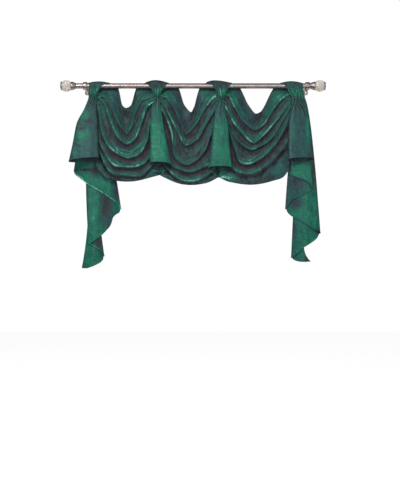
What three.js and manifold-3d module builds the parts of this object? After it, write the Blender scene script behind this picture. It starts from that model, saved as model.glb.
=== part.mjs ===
// Tab top swag curtain hung on its rod: four pinched tabs, three swags, four bell jabots and two
// cascade tails of two-tone taffeta, on a metal rod with glass finials and two wall brackets.
// Millimetres, +Z up, +X to the right and -Y to the front. The origin lies on the wall, level with
// the rod's axis, at the middle of the curtain.
import * as THREE from 'three';
import { mergeVertices } from 'three/addons/utils/BufferGeometryUtils.js';
import Module from 'manifold-3d';

const wasm = await Module();
wasm.setup();

// Hardware sizes
const ROD_STANDOFF = 80; // rod axis to the wall
const ROD_RADIUS = 12.7;
const ROD_LEFT = -562;
const ROD_RIGHT = 561.5;
const ROUND_SIDES = 24;
const FIT = 0.3; // gap between pieces that meet
const RING_RADIUS = 18.5;
const RING_WIDTH = 20;
const RING_LEFT = -518; // middle of each bracket ring along the rod
const RING_RIGHT = 549;
const ARM_RADIUS = 6;
const PLATE = { width: 18, height: 52, thick: 6, drop: 8, corner: 8.5 };
const COLLAR_LENGTH = 24;
const KNOB_LENGTH = 42;
const CAP_LENGTH = 6.5;

// Cloth sizes
const CLOTH = 1.6; // thickness of the sheet
const TAB_RADIUS = ROD_RADIUS + 1.1 + CLOTH / 2; // middle of the cloth over the rod
const TAB_BACK_DROP = 10; // how far a tab hangs down behind the rod
const TAB_TURNS = 6; // steps over the rod
const TAB_GATHERS = [0.35, 0.75, 1]; // how far the front is drawn together, station by station
const TAB_PLEATS = 3;
const TAB_PLEAT_DEPTH = 1.6;
const KNOT_DEPTH = 14; // middle of the gathered section, forward of the rod axis
const KNOT_BULGE = 8; // how far the gathered section bows forward
const KNOT_WRAP = THREE.MathUtils.degToRad(100); // half angle of that section
const KNOT_HEIGHT = 8; // upright stretch of the gathers
const BAND_DEPTH = -(TAB_RADIUS + CLOTH + FIT); // swag corners, behind the tabs
const BAND_DROP = 15;
const BAND_SHARE = 0.45; // how far the line below the notch lies on the way to the first fold
const NOTCH_DEPTH = -6; // middle of a swag's top edge
const NOTCH_POINTED = 0.3;
const NOTCH_START = 1 / 6; // share of that edge, from each end, that lies behind the rod
const SIDE_DEPTH = 8; // shirred sides of the swags
const SIDE_PLEAT = 2;
const SWELL_POWER = 1.5; // how late the folds swell away from the sides
const TUCK = 22; // how far each trough lies behind the folds around it
const TROUGH_SHARE = 0.5; // and where it lies between them
const BELL_WRAP = THREE.MathUtils.degToRad(150); // half angle of a jabot at its hem
const BELL_BACK_DROP = 16; // how much lower a jabot's hem hangs behind
const TAIL_TOP_STEP = 3.2; // between the layers of a tail, at its top and at its hem
const TAIL_HEM_STEP = 9;
const TAIL_SETTLE = 4; // how soon a tail falls back from the gathers
const TAIL_FLUTE = 2; // how soon its flutes open
const TAIL_WAVE = { depth: 9, length: 190 }; // soft upright flutes that all layers share

// Grids of the cloth sheets
const SWAG_GRID = { columns: 24, rows: 24 };
const TAB_COLUMNS = 12;
const JABOT_GRID = { columns: 12, rows: 8 };
const TAIL_GRID = { layer: 3, turn: 4, rows: 8 };

// Turns a table into objects that are named by its columns
const table = (columns, rows) =>
  rows.map((row) => Object.fromEntries(columns.map((name, i) => [name, row[i]])));

// Tabs: left and right edges behind the rod, of the cap over it, of the front at the rod's axis and
// of the gathered section, the height at which the gathers end, and how far the cap puffs up
const tabs = table(['name', 'back', 'cap', 'front', 'knot', 'knotZ', 'puff'], [
  ['tab_1', [-505, -389], [-505, -401], [-499, -438], [-504, -456], -52, 7],
  ['tab_2', [-242, -106], [-230, -118], [-212, -131], [-186, -158], -56, 13],
  ['tab_3', [51, 197], [63, 185], [93, 176], [124, 150], -64, 12],
  ['tab_4', [408, 522], [420, 522], [439, 526], [466, 541], -66, 8],
]);

// Swags: the notched top edge from corner to corner, then the folds from top to bottom. Points are
// (x, z). pointed is 0 for a round bend and 1 for a plain V, and swell is how far the fold stands
// forward of the rod's axis. The last fold is the hem.
const FOLD_COLUMNS = ['left', 'leftBend', 'low', 'rightBend', 'right', 'pointed', 'swell'];
const swags = [
  {
    name: 'swag_1',
    top: [[-470, 0], [-357, -12], [-337, -98], [-316, -104], [-296, -98], [-271, -12], [-174, 0]],
    folds: table(FOLD_COLUMNS, [
      [[-461, -44], [-382, -143], [-317, -226], [-266, -122], [-174, -42], 0.7, 18],
      [[-463, -63], [-388, -190], [-316, -281], [-250, -190], [-173, -62], 0.35, 30],
      [[-464, -84], [-430, -262], [-309, -345], [-222, -288], [-171, -92], 0, 38],
      [[-468, -215], [-436, -332], [-309, -395], [-216, -357], [-168, -230], 0, 42],
      [[-470, -325], [-412, -408], [-310, -433], [-222, -413], [-164, -335], 0, 38],
      [[-464, -392], [-405, -447], [-308, -460], [-212, -442], [-159.5, -428], 0, 22],
    ]),
  },
  {
    name: 'swag_2',
    top: [[-170, 0], [-69, -12], [-33, -97], [-8, -121], [6, -92], [28, -12], [134, 0]],
    folds: table(FOLD_COLUMNS, [
      [[-169, -46], [-86, -134], [-29, -234], [38, -150], [132, -50], 0.7, 18],
      [[-168, -66], [-95, -185], [-33, -289], [50, -200], [131, -72], 0.4, 30],
      [[-166, -90], [-94, -292], [-33, -381], [58, -312], [130, -96], 0.1, 38],
      [[-163, -235], [-104, -364], [-22, -412], [72, -372], [127, -240], 0, 42],
      [[-160, -345], [-106, -411], [-5, -454], [88, -418], [122, -350], 0, 38],
      [[-156, -430], [-92, -456], [-10, -475], [62, -463], [118, -437], 0, 22],
    ]),
  },
  {
    name: 'swag_3',
    top: [[138, 0], [224, -12], [286, -126], [305, -133], [324, -126], [391, -12], [484, 0]],
    folds: table(FOLD_COLUMNS, [
      [[137, -42], [222, -142], [300, -210], [380, -134], [476, -42], 0.6, 18],
      [[136, -66], [214, -203], [288, -276], [385, -177], [476, -66], 0.4, 30],
      [[135, -86], [204, -255], [282, -312], [388, -218], [476, -92], 0.2, 34],
      [[132, -112], [200, -312], [255, -378], [388, -284], [474, -122], 0, 40],
      [[127, -260], [190, -396], [262, -423], [382, -362], [466, -250], 0, 40],
      [[121.5, -437], [205, -465], [277, -475], [400, -446], [456, -408], 0, 22],
    ]),
  },
];

// Jabots below the gathers of the tab of the same place, a row for each section: its height, its
// left and right edges, and its back and front, forward of the rod's axis. hemSlope is how much
// lower the hem is at its left than at its right.
const SECTION_COLUMNS = ['z', 'edges', 'reach'];
const KNOT_REACH = [KNOT_DEPTH - KNOT_BULGE, KNOT_DEPTH + KNOT_BULGE];
const jabots = [
  {
    name: 'jabot_left',
    hemSlope: 16,
    sections: table(SECTION_COLUMNS, [
      [-110, [-520, -461], [9, 27]],
      [-178, [-556, -457], [15, 34]],
      [-262, [-573, -453], [22, 45]],
      [-342, [-591, -448], [30, 58]],
    ]),
  },
  {
    name: 'jabot_mid_1',
    hemSlope: -6,
    sections: table(SECTION_COLUMNS, [
      [-115, [-200, -152], [11, 28]],
      [-190, [-203, -141], [18, 36]],
      [-280, [-204, -122], [25, 47]],
      [-372, [-205, -104], [32, 60]],
    ]),
  },
  {
    name: 'jabot_mid_2',
    hemSlope: 2,
    sections: table(SECTION_COLUMNS, [
      [-115, [114, 152], [11, 28]],
      [-190, [102, 162], [18, 36]],
      [-290, [86, 174], [25, 47]],
      [-388, [71, 185], [32, 60]],
    ]),
  },
  {
    name: 'jabot_right',
    hemSlope: 4,
    sections: table(SECTION_COLUMNS, [
      [-115, [467, 547], [9, 27]],
      [-190, [457, 557], [15, 34]],
      [-270, [454, 566], [22, 45]],
      [-346, [453, 575], [30, 58]],
    ]),
  },
];

// Tails, a row for each pleat edge from front to back: its x at the gathers, its (x, z) on the
// slanting hem, how late it flares, and how far the hem sags on the way to the next edge
const PLEAT_COLUMNS = ['topX', 'hem', 'flare', 'sag'];
const tails = [
  {
    name: 'tail_left',
    topZ: -46,
    topDepth: 17.2,
    hemDepth: -14,
    crestX: -500,
    edges: table(PLEAT_COLUMNS, [
      [-498, [-575, -408], 1.1, 4],
      [-484, [-349, -586], 0.95, 34],
      [-498, [-505, -752], 1, 6],
      [-484, [-429, -815], 2, 18],
      [-497, [-541, -873], 4, 0],
    ]),
  },
  {
    name: 'tail_right',
    topZ: -58,
    topDepth: 17.8,
    hemDepth: 0,
    crestX: 540,
    edges: table(PLEAT_COLUMNS, [
      [508, [460, -430], 0.8, 2],
      [530, [571, -490], 0.8, 8],
      [508, [443, -590], 1.1, 14],
      [533, [614, -707], 0.8, 16],
      [509, [473, -800], 0.9, 26],
      [531, [569, -843], 9, 0],
    ]),
  },
];

// Turned profiles along the rod, from the seat outward: distance and radius
const COLLAR_PROFILE = [
  [0, 0], [0, 14], [3, 14.6], [9, 17.2], [16, 19.4], [21, 20.2], [COLLAR_LENGTH, 20.2], [COLLAR_LENGTH, 0],
];
const KNOB_PROFILE = [
  [0, 0], [0, 19.5], [4, 22.5], [12, 26.2], [20, 27.2], [29, 26.4], [37, 24], [KNOB_LENGTH, 21.2],
  [KNOB_LENGTH, 0],
];
const CAP_PROFILE = [
  [0, 0], [0, 20], [1, 20.6], [4, 20.6], [CAP_LENGTH, 18.5], [CAP_LENGTH, 0],
];

const lerp = THREE.MathUtils.lerp;
const at = (x, depth, z) => new THREE.Vector3(x, -ROD_STANDOFF - depth, z);
const rise = (t, power) => 1 - (1 - t) ** power;

// Slopes of a curve through evenly spaced values that is level at each crest and trough
function levelSlopes(values) {
  const steps = values.slice(1).map((value, i) => value - values[i]);
  return values.map((_, i) => {
    const before = steps[Math.max(i - 1, 0)];
    const after = steps[Math.min(i, steps.length - 1)];
    return before * after > 0 ? (2 * before * after) / (before + after) : 0;
  });
}

// The value at place, from 0 to 1, on that curve
function between(values, place) {
  const slopes = levelSlopes(values);
  const spot = place * (values.length - 1);
  const i = Math.min(Math.floor(spot), values.length - 2);
  const t = spot - i;
  const ease = t * t * (3 - 2 * t);
  const lead = t * (1 - t) * (1 - t) * slopes[i];
  const trail = t * t * (1 - t) * slopes[i + 1];
  return lerp(values[i], values[i + 1], ease) + lead - trail;
}

// A closed sheet of cloth: surface(across, down) gives its middle, and its front is on the side
// that faces the viewer when across runs to the right and down runs to the hem
function clothSheet(surface, columns, rows) {
  const middle = [];
  for (let i = 0; i <= rows; i += 1) {
    for (let j = 0; j <= columns; j += 1) {
      middle.push(surface(j / columns, i / rows));
    }
  }
  const index = (i, j) => i * (columns + 1) + j;
  const front = [];
  const back = [];
  for (let i = 0; i <= rows; i += 1) {
    for (let j = 0; j <= columns; j += 1) {
      const [above, below] = [index(Math.max(i - 1, 0), j), index(Math.min(i + 1, rows), j)];
      const [before, after] = [index(i, Math.max(j - 1, 0)), index(i, Math.min(j + 1, columns))];
      const down = middle[below].clone().sub(middle[above]);
      const across = middle[after].clone().sub(middle[before]);
      const half = down.cross(across).normalize().multiplyScalar(CLOTH / 2);
      front.push(...middle[index(i, j)].clone().add(half));
      back.push(...middle[index(i, j)].clone().sub(half));
    }
  }
  const count = middle.length;
  const faces = [];
  for (let i = 0; i < rows; i += 1) {
    for (let j = 0; j < columns; j += 1) {
      const [a, b, c, d] = [index(i, j), index(i + 1, j), index(i, j + 1), index(i + 1, j + 1)];
      faces.push(a, b, c, c, b, d);
      faces.push(count + a, count + c, count + b, count + c, count + d, count + b);
    }
  }
  const rim = [];
  for (let i = 0; i < rows; i += 1) rim.push(index(i, 0));
  for (let j = 0; j < columns; j += 1) rim.push(index(rows, j));
  for (let i = rows; i > 0; i -= 1) rim.push(index(i, columns));
  for (let j = columns; j > 0; j -= 1) rim.push(index(0, j));
  rim.forEach((p, k) => {
    const q = rim[(k + 1) % rim.length];
    faces.push(q, p, count + p, q, count + p, count + q);
  });
  const geometry = new THREE.BufferGeometry();
  geometry.setAttribute('position', new THREE.Float32BufferAttribute([...front, ...back], 3));
  geometry.setIndex(faces);
  return geometry;
}

// A point on the gathered section under a tab: edges are its left and right, turn runs from -1 to 1
function knotPoint([left, right], turn, z) {
  const angle = turn * KNOT_WRAP;
  const x = lerp(left, right, 0.5 + Math.sin(angle) / 2);
  return at(x, KNOT_DEPTH + KNOT_BULGE * Math.cos(angle), z);
}

// A tab: up behind the rod, over it, and down in front to the gathers
function tabSurface({ back, cap, front, knot, knotZ, puff }) {
  const gatherTop = knotZ + KNOT_HEIGHT;
  const stations = [{ edges: back, depth: -TAB_RADIUS, z: -TAB_BACK_DROP, gather: 0, lift: 0 }];
  for (let i = 0; i <= TAB_TURNS; i += 1) {
    const share = i / TAB_TURNS;
    const angle = Math.PI * (1 - share);
    const near = Math.abs(share - 0.5) * 2;
    const ends = share < 0.5 ? back : front;
    stations.push({
      edges: [lerp(cap[0], ends[0], near), lerp(cap[1], ends[1], near)],
      depth: TAB_RADIUS * Math.cos(angle),
      z: TAB_RADIUS * Math.sin(angle),
      gather: 0,
      lift: puff * Math.sin(angle),
    });
  }
  for (const gather of TAB_GATHERS) {
    stations.push({
      edges: [lerp(front[0], knot[0], gather), lerp(front[1], knot[1], gather)],
      depth: TAB_RADIUS,
      z: lerp(0, gatherTop, gather),
      gather,
      lift: 0,
    });
  }
  stations.push({ edges: knot, depth: TAB_RADIUS, z: knotZ, gather: 1, lift: 0 });
  const rows = stations.length - 1;
  const surface = (across, down) => {
    const { edges, depth, z, gather, lift } = stations[Math.round(down * rows)];
    const ripple = Math.cos(2 * Math.PI * TAB_PLEATS * across);
    const pleat = TAB_PLEAT_DEPTH * ripple * Math.sin(Math.PI * gather);
    const raised = z + lift * Math.sin(Math.PI * across);
    const flat = at(lerp(edges[0], edges[1], across), depth + pleat, raised);
    return flat.lerp(knotPoint(edges, across * 2 - 1, z), gather);
  };
  return { surface, rows };
}

// One line across a swag, through its points: a round curve drawn towards straight legs by pointed
function lineAcross(points, pointed) {
  const corners = points.map(([x, z]) => new THREE.Vector3(x, 0, z));
  const curve = new THREE.CatmullRomCurve3(corners, false, 'centripetal');
  return (across) => {
    const spot = across * (corners.length - 1);
    const i = Math.min(Math.floor(spot), corners.length - 2);
    const straight = corners[i].clone().lerp(corners[i + 1], spot - i);
    return curve.getPoint(across).lerp(straight, pointed);
  };
}

// A swag: lines across it from the notched top to the hem, folds and the troughs between them
function swagSurface({ top, folds }) {
  const lines = [];
  const topLine = lineAcross(top, NOTCH_POINTED);
  const foldLines = folds.map((row) =>
    lineAcross([row.left, row.leftBend, row.low, row.rightBend, row.right], row.pointed));
  const notch = (u) => THREE.MathUtils.smoothstep(Math.min(u, 1 - u), NOTCH_START, 0.5);
  const swell = (u) => Math.sin(Math.PI * u) ** SWELL_POWER;
  lines.push({ place: topLine, end: BAND_DEPTH, middle: NOTCH_DEPTH, share: notch });
  lines.push({
    place: (u) => {
      const sink = notch(u);
      const lower = topLine(u).lerp(foldLines[0](u), BAND_SHARE * sink);
      lower.z -= BAND_DROP * (1 - sink);
      return lower;
    },
    end: BAND_DEPTH,
    middle: NOTCH_DEPTH,
    share: notch,
  });
  folds.forEach((row, i) => {
    lines.push({ place: foldLines[i], end: SIDE_DEPTH + SIDE_PLEAT, middle: row.swell, share: swell });
    if (i < folds.length - 1) {
      lines.push({
        place: (u) => foldLines[i](u).lerp(foldLines[i + 1](u), TROUGH_SHARE),
        end: SIDE_DEPTH - SIDE_PLEAT,
        middle: Math.min(row.swell, folds[i + 1].swell) - TUCK,
        share: swell,
      });
    }
  });
  return (across, down) => {
    const places = lines.map((line) => line.place(across));
    const depths = lines.map((line) => lerp(line.end, line.middle, line.share(across)));
    return at(
      between(places.map((p) => p.x), down),
      between(depths, down),
      between(places.map((p) => p.z), down),
    );
  };
}

// A jabot: a bell that opens from the gathers to the hem, closed towards its back
function jabotSurface({ sections, hemSlope }, { knot, knotZ }) {
  const start = knotZ - FIT;
  const rows = [
    { z: start, edges: knot, reach: KNOT_REACH },
    { z: start - KNOT_HEIGHT, edges: knot, reach: KNOT_REACH },
    ...sections,
  ];
  const column = (pick) => rows.map(pick);
  const lefts = column((row) => row.edges[0]);
  const rights = column((row) => row.edges[1]);
  const backs = column((row) => row.reach[0]);
  const fronts = column((row) => row.reach[1]);
  const heights = column((row) => row.z);
  return (across, down) => {
    const turn = across * 2 - 1;
    const open = Math.max(0, (down * (rows.length - 1) - 1) / (rows.length - 2));
    const angle = turn * lerp(KNOT_WRAP, BELL_WRAP, open);
    const left = between(lefts, down);
    const right = between(rights, down);
    const x = lerp(left, right, 0.5 + Math.sin(angle) / 2);
    const depth = lerp(between(backs, down), between(fronts, down), 0.5 + Math.cos(angle) / 2);
    const fall = hemSlope * (Math.sin(angle) / 2 - 0.5) - (BELL_BACK_DROP * (1 - Math.cos(angle))) / 2;
    return at(x, depth, between(heights, down) + fall * open ** 2);
  };
}

// A tail: flat pleats laid back and forth between its edges, with a round turn at each fold
function tailSurface({ topZ, topDepth, hemDepth, crestX, edges }) {
  const { layer: layerColumns, turn: turnColumns } = TAIL_GRID;
  const layers = edges.length - 1;
  const spots = [];
  for (let k = 0; k < layers; k += 1) {
    for (let j = 0; j <= layerColumns; j += 1) spots.push({ layer: k, share: j / layerColumns, turn: 0 });
    if (k === layers - 1) continue;
    for (let j = 1; j < turnColumns; j += 1) spots.push({ layer: k, share: 1, turn: j / turnColumns });
  }
  const edgeX = ({ topX, hem, flare }, t) => lerp(topX, hem[0], t ** flare);
  const surface = (across, down) => {
    const { layer, share, turn } = spots[Math.round(across * (spots.length - 1))];
    const [from, to] = [edges[layer], edges[layer + 1]];
    const step = lerp(TAIL_TOP_STEP, TAIL_HEM_STEP, down);
    const toRight = to.hem[0] > from.hem[0] ? 1 : -1;
    const first = lerp(topDepth, hemDepth, rise(down, TAIL_SETTLE));
    const depth = first - step * (layer + (1 - Math.cos(Math.PI * turn)) / 2);
    const bulge = toRight * (step / 2) * Math.sin(Math.PI * turn);
    const inset = step / 2;
    const [startX, endX] = [edgeX(from, down), edgeX(to, down)];
    const startInset = layer === 0 ? 0 : inset * toRight;
    const endInset = layer === layers - 1 ? 0 : inset * toRight;
    const x = lerp(startX + startInset, endX - endInset, share) + bulge;
    const hemZ = lerp(from.hem[1], to.hem[1], share) - from.sag * 4 * share * (1 - share);
    const flute = TAIL_WAVE.depth * Math.cos((2 * Math.PI * (x - crestX)) / TAIL_WAVE.length);
    return at(x, depth + flute * rise(down, TAIL_FLUTE), lerp(topZ, hemZ, down));
  };
  return { surface, columns: spots.length - 1 };
}

// A turned piece along the rod: profile rows are (distance outward from the seat, radius)
function turned(profile, seatX, outward) {
  const points = profile.map(([along, radius]) => new THREE.Vector2(radius, along));
  const geometry = new THREE.LatheGeometry(points, ROUND_SIDES);
  geometry.rotateZ(-Math.PI / 2);
  if (outward < 0) geometry.rotateZ(Math.PI);
  geometry.translate(seatX, -ROD_STANDOFF, 0);
  return geometry;
}

// Joining by manifold

function toSolid(geometry) {
  const bare = geometry.clone();
  bare.deleteAttribute('normal');
  bare.deleteAttribute('uv');
  const merged = mergeVertices(bare, 1e-4);
  return new wasm.Manifold(new wasm.Mesh({
    numProp: 3,
    vertProperties: new Float32Array(merged.attributes.position.array),
    triVerts: new Uint32Array(merged.index.array),
  }));
}

function toGeometry(solid) {
  const mesh = solid.getMesh();
  const geometry = new THREE.BufferGeometry();
  geometry.setAttribute('position', new THREE.Float32BufferAttribute(mesh.vertProperties, 3));
  geometry.setIndex(Array.from(mesh.triVerts));
  return geometry;
}

function roundedRectangle(width, height, corner) {
  const [x, y] = [width / 2, height / 2];
  const shape = new THREE.Shape();
  shape.moveTo(-x + corner, -y);
  shape.lineTo(x - corner, -y);
  shape.absarc(x - corner, -y + corner, corner, -Math.PI / 2, 0);
  shape.lineTo(x, y - corner);
  shape.absarc(x - corner, y - corner, corner, 0, Math.PI / 2);
  shape.lineTo(-x + corner, y);
  shape.absarc(-x + corner, y - corner, corner, Math.PI / 2, Math.PI);
  shape.lineTo(-x, -y + corner);
  shape.absarc(-x + corner, -y + corner, corner, Math.PI, Math.PI * 1.5);
  return shape;
}

// Wall bracket: a ring around the rod, an arm to the wall and a rounded plate flat against it
function bracketGeometry(ringX) {
  const inner = ROD_RADIUS + FIT;
  const ring = turned([
    [-RING_WIDTH / 2, inner], [-RING_WIDTH / 2, RING_RADIUS],
    [RING_WIDTH / 2, RING_RADIUS], [RING_WIDTH / 2, inner], [-RING_WIDTH / 2, inner],
  ], ringX, 1);
  const ringBack = -ROD_STANDOFF + (inner + RING_RADIUS) / 2;
  const armEnd = -PLATE.thick / 2;
  const arm = new THREE.CylinderGeometry(ARM_RADIUS, ARM_RADIUS, armEnd - ringBack, ROUND_SIDES / 2);
  arm.translate(ringX, (armEnd + ringBack) / 2, 0);
  const plate = new THREE.ExtrudeGeometry(
    roundedRectangle(PLATE.width, PLATE.height, PLATE.corner),
    { depth: PLATE.thick, bevelEnabled: false, curveSegments: 4 },
  );
  plate.rotateX(Math.PI / 2);
  plate.translate(ringX, 0, -PLATE.drop);
  return toGeometry(toSolid(ring).add(toSolid(arm)).add(toSolid(plate)));
}

// The object

const curtain = new THREE.Group();

function addPiece(name, geometry, color, roughness, metalness) {
  const material = new THREE.MeshStandardMaterial({ color, roughness, metalness });
  material.name = name;
  const mesh = new THREE.Mesh(geometry, material);
  mesh.name = name;
  curtain.add(mesh);
}

const addCloth = (name, geometry) => addPiece(name, geometry, '#1f5f49', 0.5, 0);
const addMetal = (name, geometry) => addPiece(name, geometry, '#b9a79b', 0.35, 1);
const addGlass = (name, geometry) => addPiece(name, geometry, '#d8d2c6', 0.15, 0);

const rod = new THREE.CylinderGeometry(ROD_RADIUS, ROD_RADIUS, ROD_RIGHT - ROD_LEFT, ROUND_SIDES);
rod.rotateZ(-Math.PI / 2);
rod.translate((ROD_LEFT + ROD_RIGHT) / 2, -ROD_STANDOFF, 0);
addMetal('rod', rod);

const rodEnds = [
  { side: 'left', outward: -1, ringX: RING_LEFT, endX: ROD_LEFT },
  { side: 'right', outward: 1, ringX: RING_RIGHT, endX: ROD_RIGHT },
];
for (const { side, outward, ringX, endX } of rodEnds) {
  const collarX = endX + outward * FIT;
  const knobX = collarX + outward * (COLLAR_LENGTH + FIT);
  const capX = knobX + outward * (KNOB_LENGTH + FIT);
  addMetal(`bracket_${side}`, bracketGeometry(ringX));
  addMetal(`finial_collar_${side}`, turned(COLLAR_PROFILE, collarX, outward));
  addGlass(`finial_knob_${side}`, turned(KNOB_PROFILE, knobX, outward));
  addMetal(`finial_cap_${side}`, turned(CAP_PROFILE, capX, outward));
}

for (const tab of tabs) {
  const { surface, rows } = tabSurface(tab);
  addCloth(tab.name, clothSheet(surface, TAB_COLUMNS, rows));
}
for (const swag of swags) {
  addCloth(swag.name, clothSheet(swagSurface(swag), SWAG_GRID.columns, SWAG_GRID.rows));
}
jabots.forEach((jabot, i) => {
  addCloth(jabot.name, clothSheet(jabotSurface(jabot, tabs[i]), JABOT_GRID.columns, JABOT_GRID.rows));
});
for (const tail of tails) {
  const { surface, columns } = tailSurface(tail);
  addCloth(tail.name, clothSheet(surface, columns, TAIL_GRID.rows));
}

export default curtain;
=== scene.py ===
"""Looks of a tab top swag curtain on its rod: shot taffeta, satin nickel and fluted glass.

Everything is in metres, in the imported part's frame: +Z up, -Y to the front, the wall at Y = 0.
Tables of places are in millimetres, as a maker would read them off, and are turned to metres once.
"""

import math

import bmesh
import bpy
import numpy as np
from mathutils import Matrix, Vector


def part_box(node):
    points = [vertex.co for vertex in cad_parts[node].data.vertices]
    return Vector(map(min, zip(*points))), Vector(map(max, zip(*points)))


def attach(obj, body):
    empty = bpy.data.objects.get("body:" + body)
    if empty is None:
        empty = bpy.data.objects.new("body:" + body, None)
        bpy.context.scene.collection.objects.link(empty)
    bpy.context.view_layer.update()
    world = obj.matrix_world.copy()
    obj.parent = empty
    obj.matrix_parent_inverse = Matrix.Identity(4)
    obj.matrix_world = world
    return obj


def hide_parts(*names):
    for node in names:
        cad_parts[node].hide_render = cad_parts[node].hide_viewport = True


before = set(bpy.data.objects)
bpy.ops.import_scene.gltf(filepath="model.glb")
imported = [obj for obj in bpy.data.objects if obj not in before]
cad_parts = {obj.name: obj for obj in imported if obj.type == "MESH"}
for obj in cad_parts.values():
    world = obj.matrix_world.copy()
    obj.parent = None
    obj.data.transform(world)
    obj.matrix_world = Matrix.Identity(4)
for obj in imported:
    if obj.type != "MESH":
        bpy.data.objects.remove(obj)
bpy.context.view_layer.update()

MM = 0.001
PHOTO_PIXEL = 4.8 * MM  # size of a photo pixel at the curtain
PHOTO_SIZE = (400, 489)
SENSOR_WIDTH = 36
CAMERA_DISTANCE = 5.0
CAMERA_X = 0.033
CAMERA_Z = -0.761
FLOOR_Z = -1.95
FLOOR_SIDE = 7
FLOOR_FRONT = -0.6
FLOOR_BACK = 9
CURTAIN_MIDDLE = (0.0, -0.1, -0.35)
ROD_MIDDLE = (0.0, -0.1, 0.0)


# Small helpers


def linear(hex_colour):
    """An sRGB hex colour as linear RGBA."""
    channels = [int(hex_colour[i : i + 2], 16) / 255 for i in (1, 3, 5)]
    return [c / 12.92 if c <= 0.04045 else ((c + 0.055) / 1.055) ** 2.4 for c in channels] + [1.0]


def add(tree, kind, settings=None, values=None, links=None, stops=()):
    """Adds a node to a tree with its settings, socket values, feeding sockets and any colour stops."""
    node = tree.nodes.new(kind)
    for name, value in (settings or {}).items():
        setattr(node, name, value)
    for key, value in (values or {}).items():
        node.inputs[key].default_value = value
    for key, socket in (links or {}).items():
        tree.links.new(socket, node.inputs[key])
    if stops:
        elements = node.color_ramp.elements
        while len(elements) < len(stops):
            elements.new(0.5)
        for element, (place, colour) in zip(elements, stops):
            element.position = place
            element.color = linear(colour)
    return node


def mix(start, end, share):
    return start + (end - start) * share


def smooth(values, low, high):
    t = np.clip((values - low) / (high - low), 0, 1)
    return t * t * (3 - 2 * t)


def bump(distance, width):
    return np.exp(-((distance / width) ** 2))


def link_object(name, data):
    piece = bpy.data.objects.new(name, data)
    bpy.context.scene.collection.objects.link(piece)
    return piece


# Camera, light and stage


def aim(thing, target):
    direction = np.array(target) - np.array(thing.location)
    flat = math.hypot(direction[0], direction[1])
    pitch = math.pi / 2 + math.atan2(direction[2], flat)
    thing.rotation_euler = (pitch, 0, math.atan2(-direction[0], direction[1]))


def make_camera():
    data = bpy.data.cameras.new("camera")
    data.sensor_width = SENSOR_WIDTH
    data.lens = SENSOR_WIDTH * CAMERA_DISTANCE / (PHOTO_SIZE[1] * PHOTO_PIXEL)
    camera = link_object("camera", data)
    rod_low, rod_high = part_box("rod")
    rod_y = (rod_low.y + rod_high.y) / 2
    camera.location = (CAMERA_X, rod_y - CAMERA_DISTANCE, CAMERA_Z)
    aim(camera, (CAMERA_X, rod_y, CAMERA_Z))
    bpy.context.scene.camera = camera


def make_softbox(name, place, target, size, power, colour):
    data = bpy.data.lights.new(name, "AREA")
    data.shape = "RECTANGLE"
    data.size, data.size_y = size
    data.energy = power
    data.color = linear(colour)[:3]
    light = link_object(name, data)
    light.location = place
    aim(light, target)


def make_stage():
    """A pale floor far below the rod, and a white surround that is seen brighter than it lights."""
    mesh = bpy.data.meshes.new("floor")
    front = [(x, FLOOR_FRONT, FLOOR_Z) for x in (-FLOOR_SIDE, FLOOR_SIDE)]
    back = [(x, FLOOR_BACK, FLOOR_Z) for x in (FLOOR_SIDE, -FLOOR_SIDE)]
    mesh.from_pydata(front + back, [], [(0, 1, 2, 3)])
    paint = bpy.data.materials.new("pale_floor_paint")
    paint.use_nodes = True
    shader = paint.node_tree.nodes["Principled BSDF"]
    shader.inputs["Base Color"].default_value = linear("#F7F7F5")
    shader.inputs["Roughness"].default_value = 0.9
    shader.inputs["Emission Color"].default_value = linear("#FFFFFF")
    shader.inputs["Emission Strength"].default_value = 0.8
    mesh.materials.append(paint)
    link_object("floor", mesh)
    world = bpy.data.worlds.new("white_surround")
    world.use_nodes = True
    bpy.context.scene.world = world
    tree = world.node_tree
    tree.nodes.clear()
    path = add(tree, "ShaderNodeLightPath")
    fill = add(tree, "ShaderNodeBackground", values={"Color": linear("#F4F6FA"), "Strength": 0.17})
    seen = add(tree, "ShaderNodeBackground", values={"Color": linear("#FFFFFF"), "Strength": 1.0})
    both = add(tree, "ShaderNodeMixShader",
               links={0: path.outputs["Is Camera Ray"], 1: fill.outputs[0], 2: seen.outputs[0]})
    add(tree, "ShaderNodeOutputWorld", links={"Surface": both.outputs[0]})


make_camera()
make_stage()
make_softbox("key", (-1.3, -3.4, 1.7), CURTAIN_MIDDLE, (1.0, 1.0), 86, "#FFF6EE")
make_softbox("strip", (0.3, -3.3, 1.5), (0.1, -0.1, 0.0), (4.8, 0.7), 19, "#FFF4F2")
make_softbox("front", (0.3, -5.3, -0.5), CURTAIN_MIDDLE, (2.4, 0.8), 78, "#FFFFFF")
make_softbox("fill", (2.4, -3.2, 0.2), CURTAIN_MIDDLE, (1.8, 1.8), 14, "#F2F6FF")
make_softbox("top", (0.0, -0.9, 2.4), ROD_MIDDLE, (3.0, 1.2), 8, "#FFFFFF")
bpy.context.scene.view_settings.view_transform = "Standard"


# Materials


def new_material(name):
    material = bpy.data.materials.new(name)
    material.use_nodes = True
    material.node_tree.nodes.clear()
    return material, material.node_tree


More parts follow.
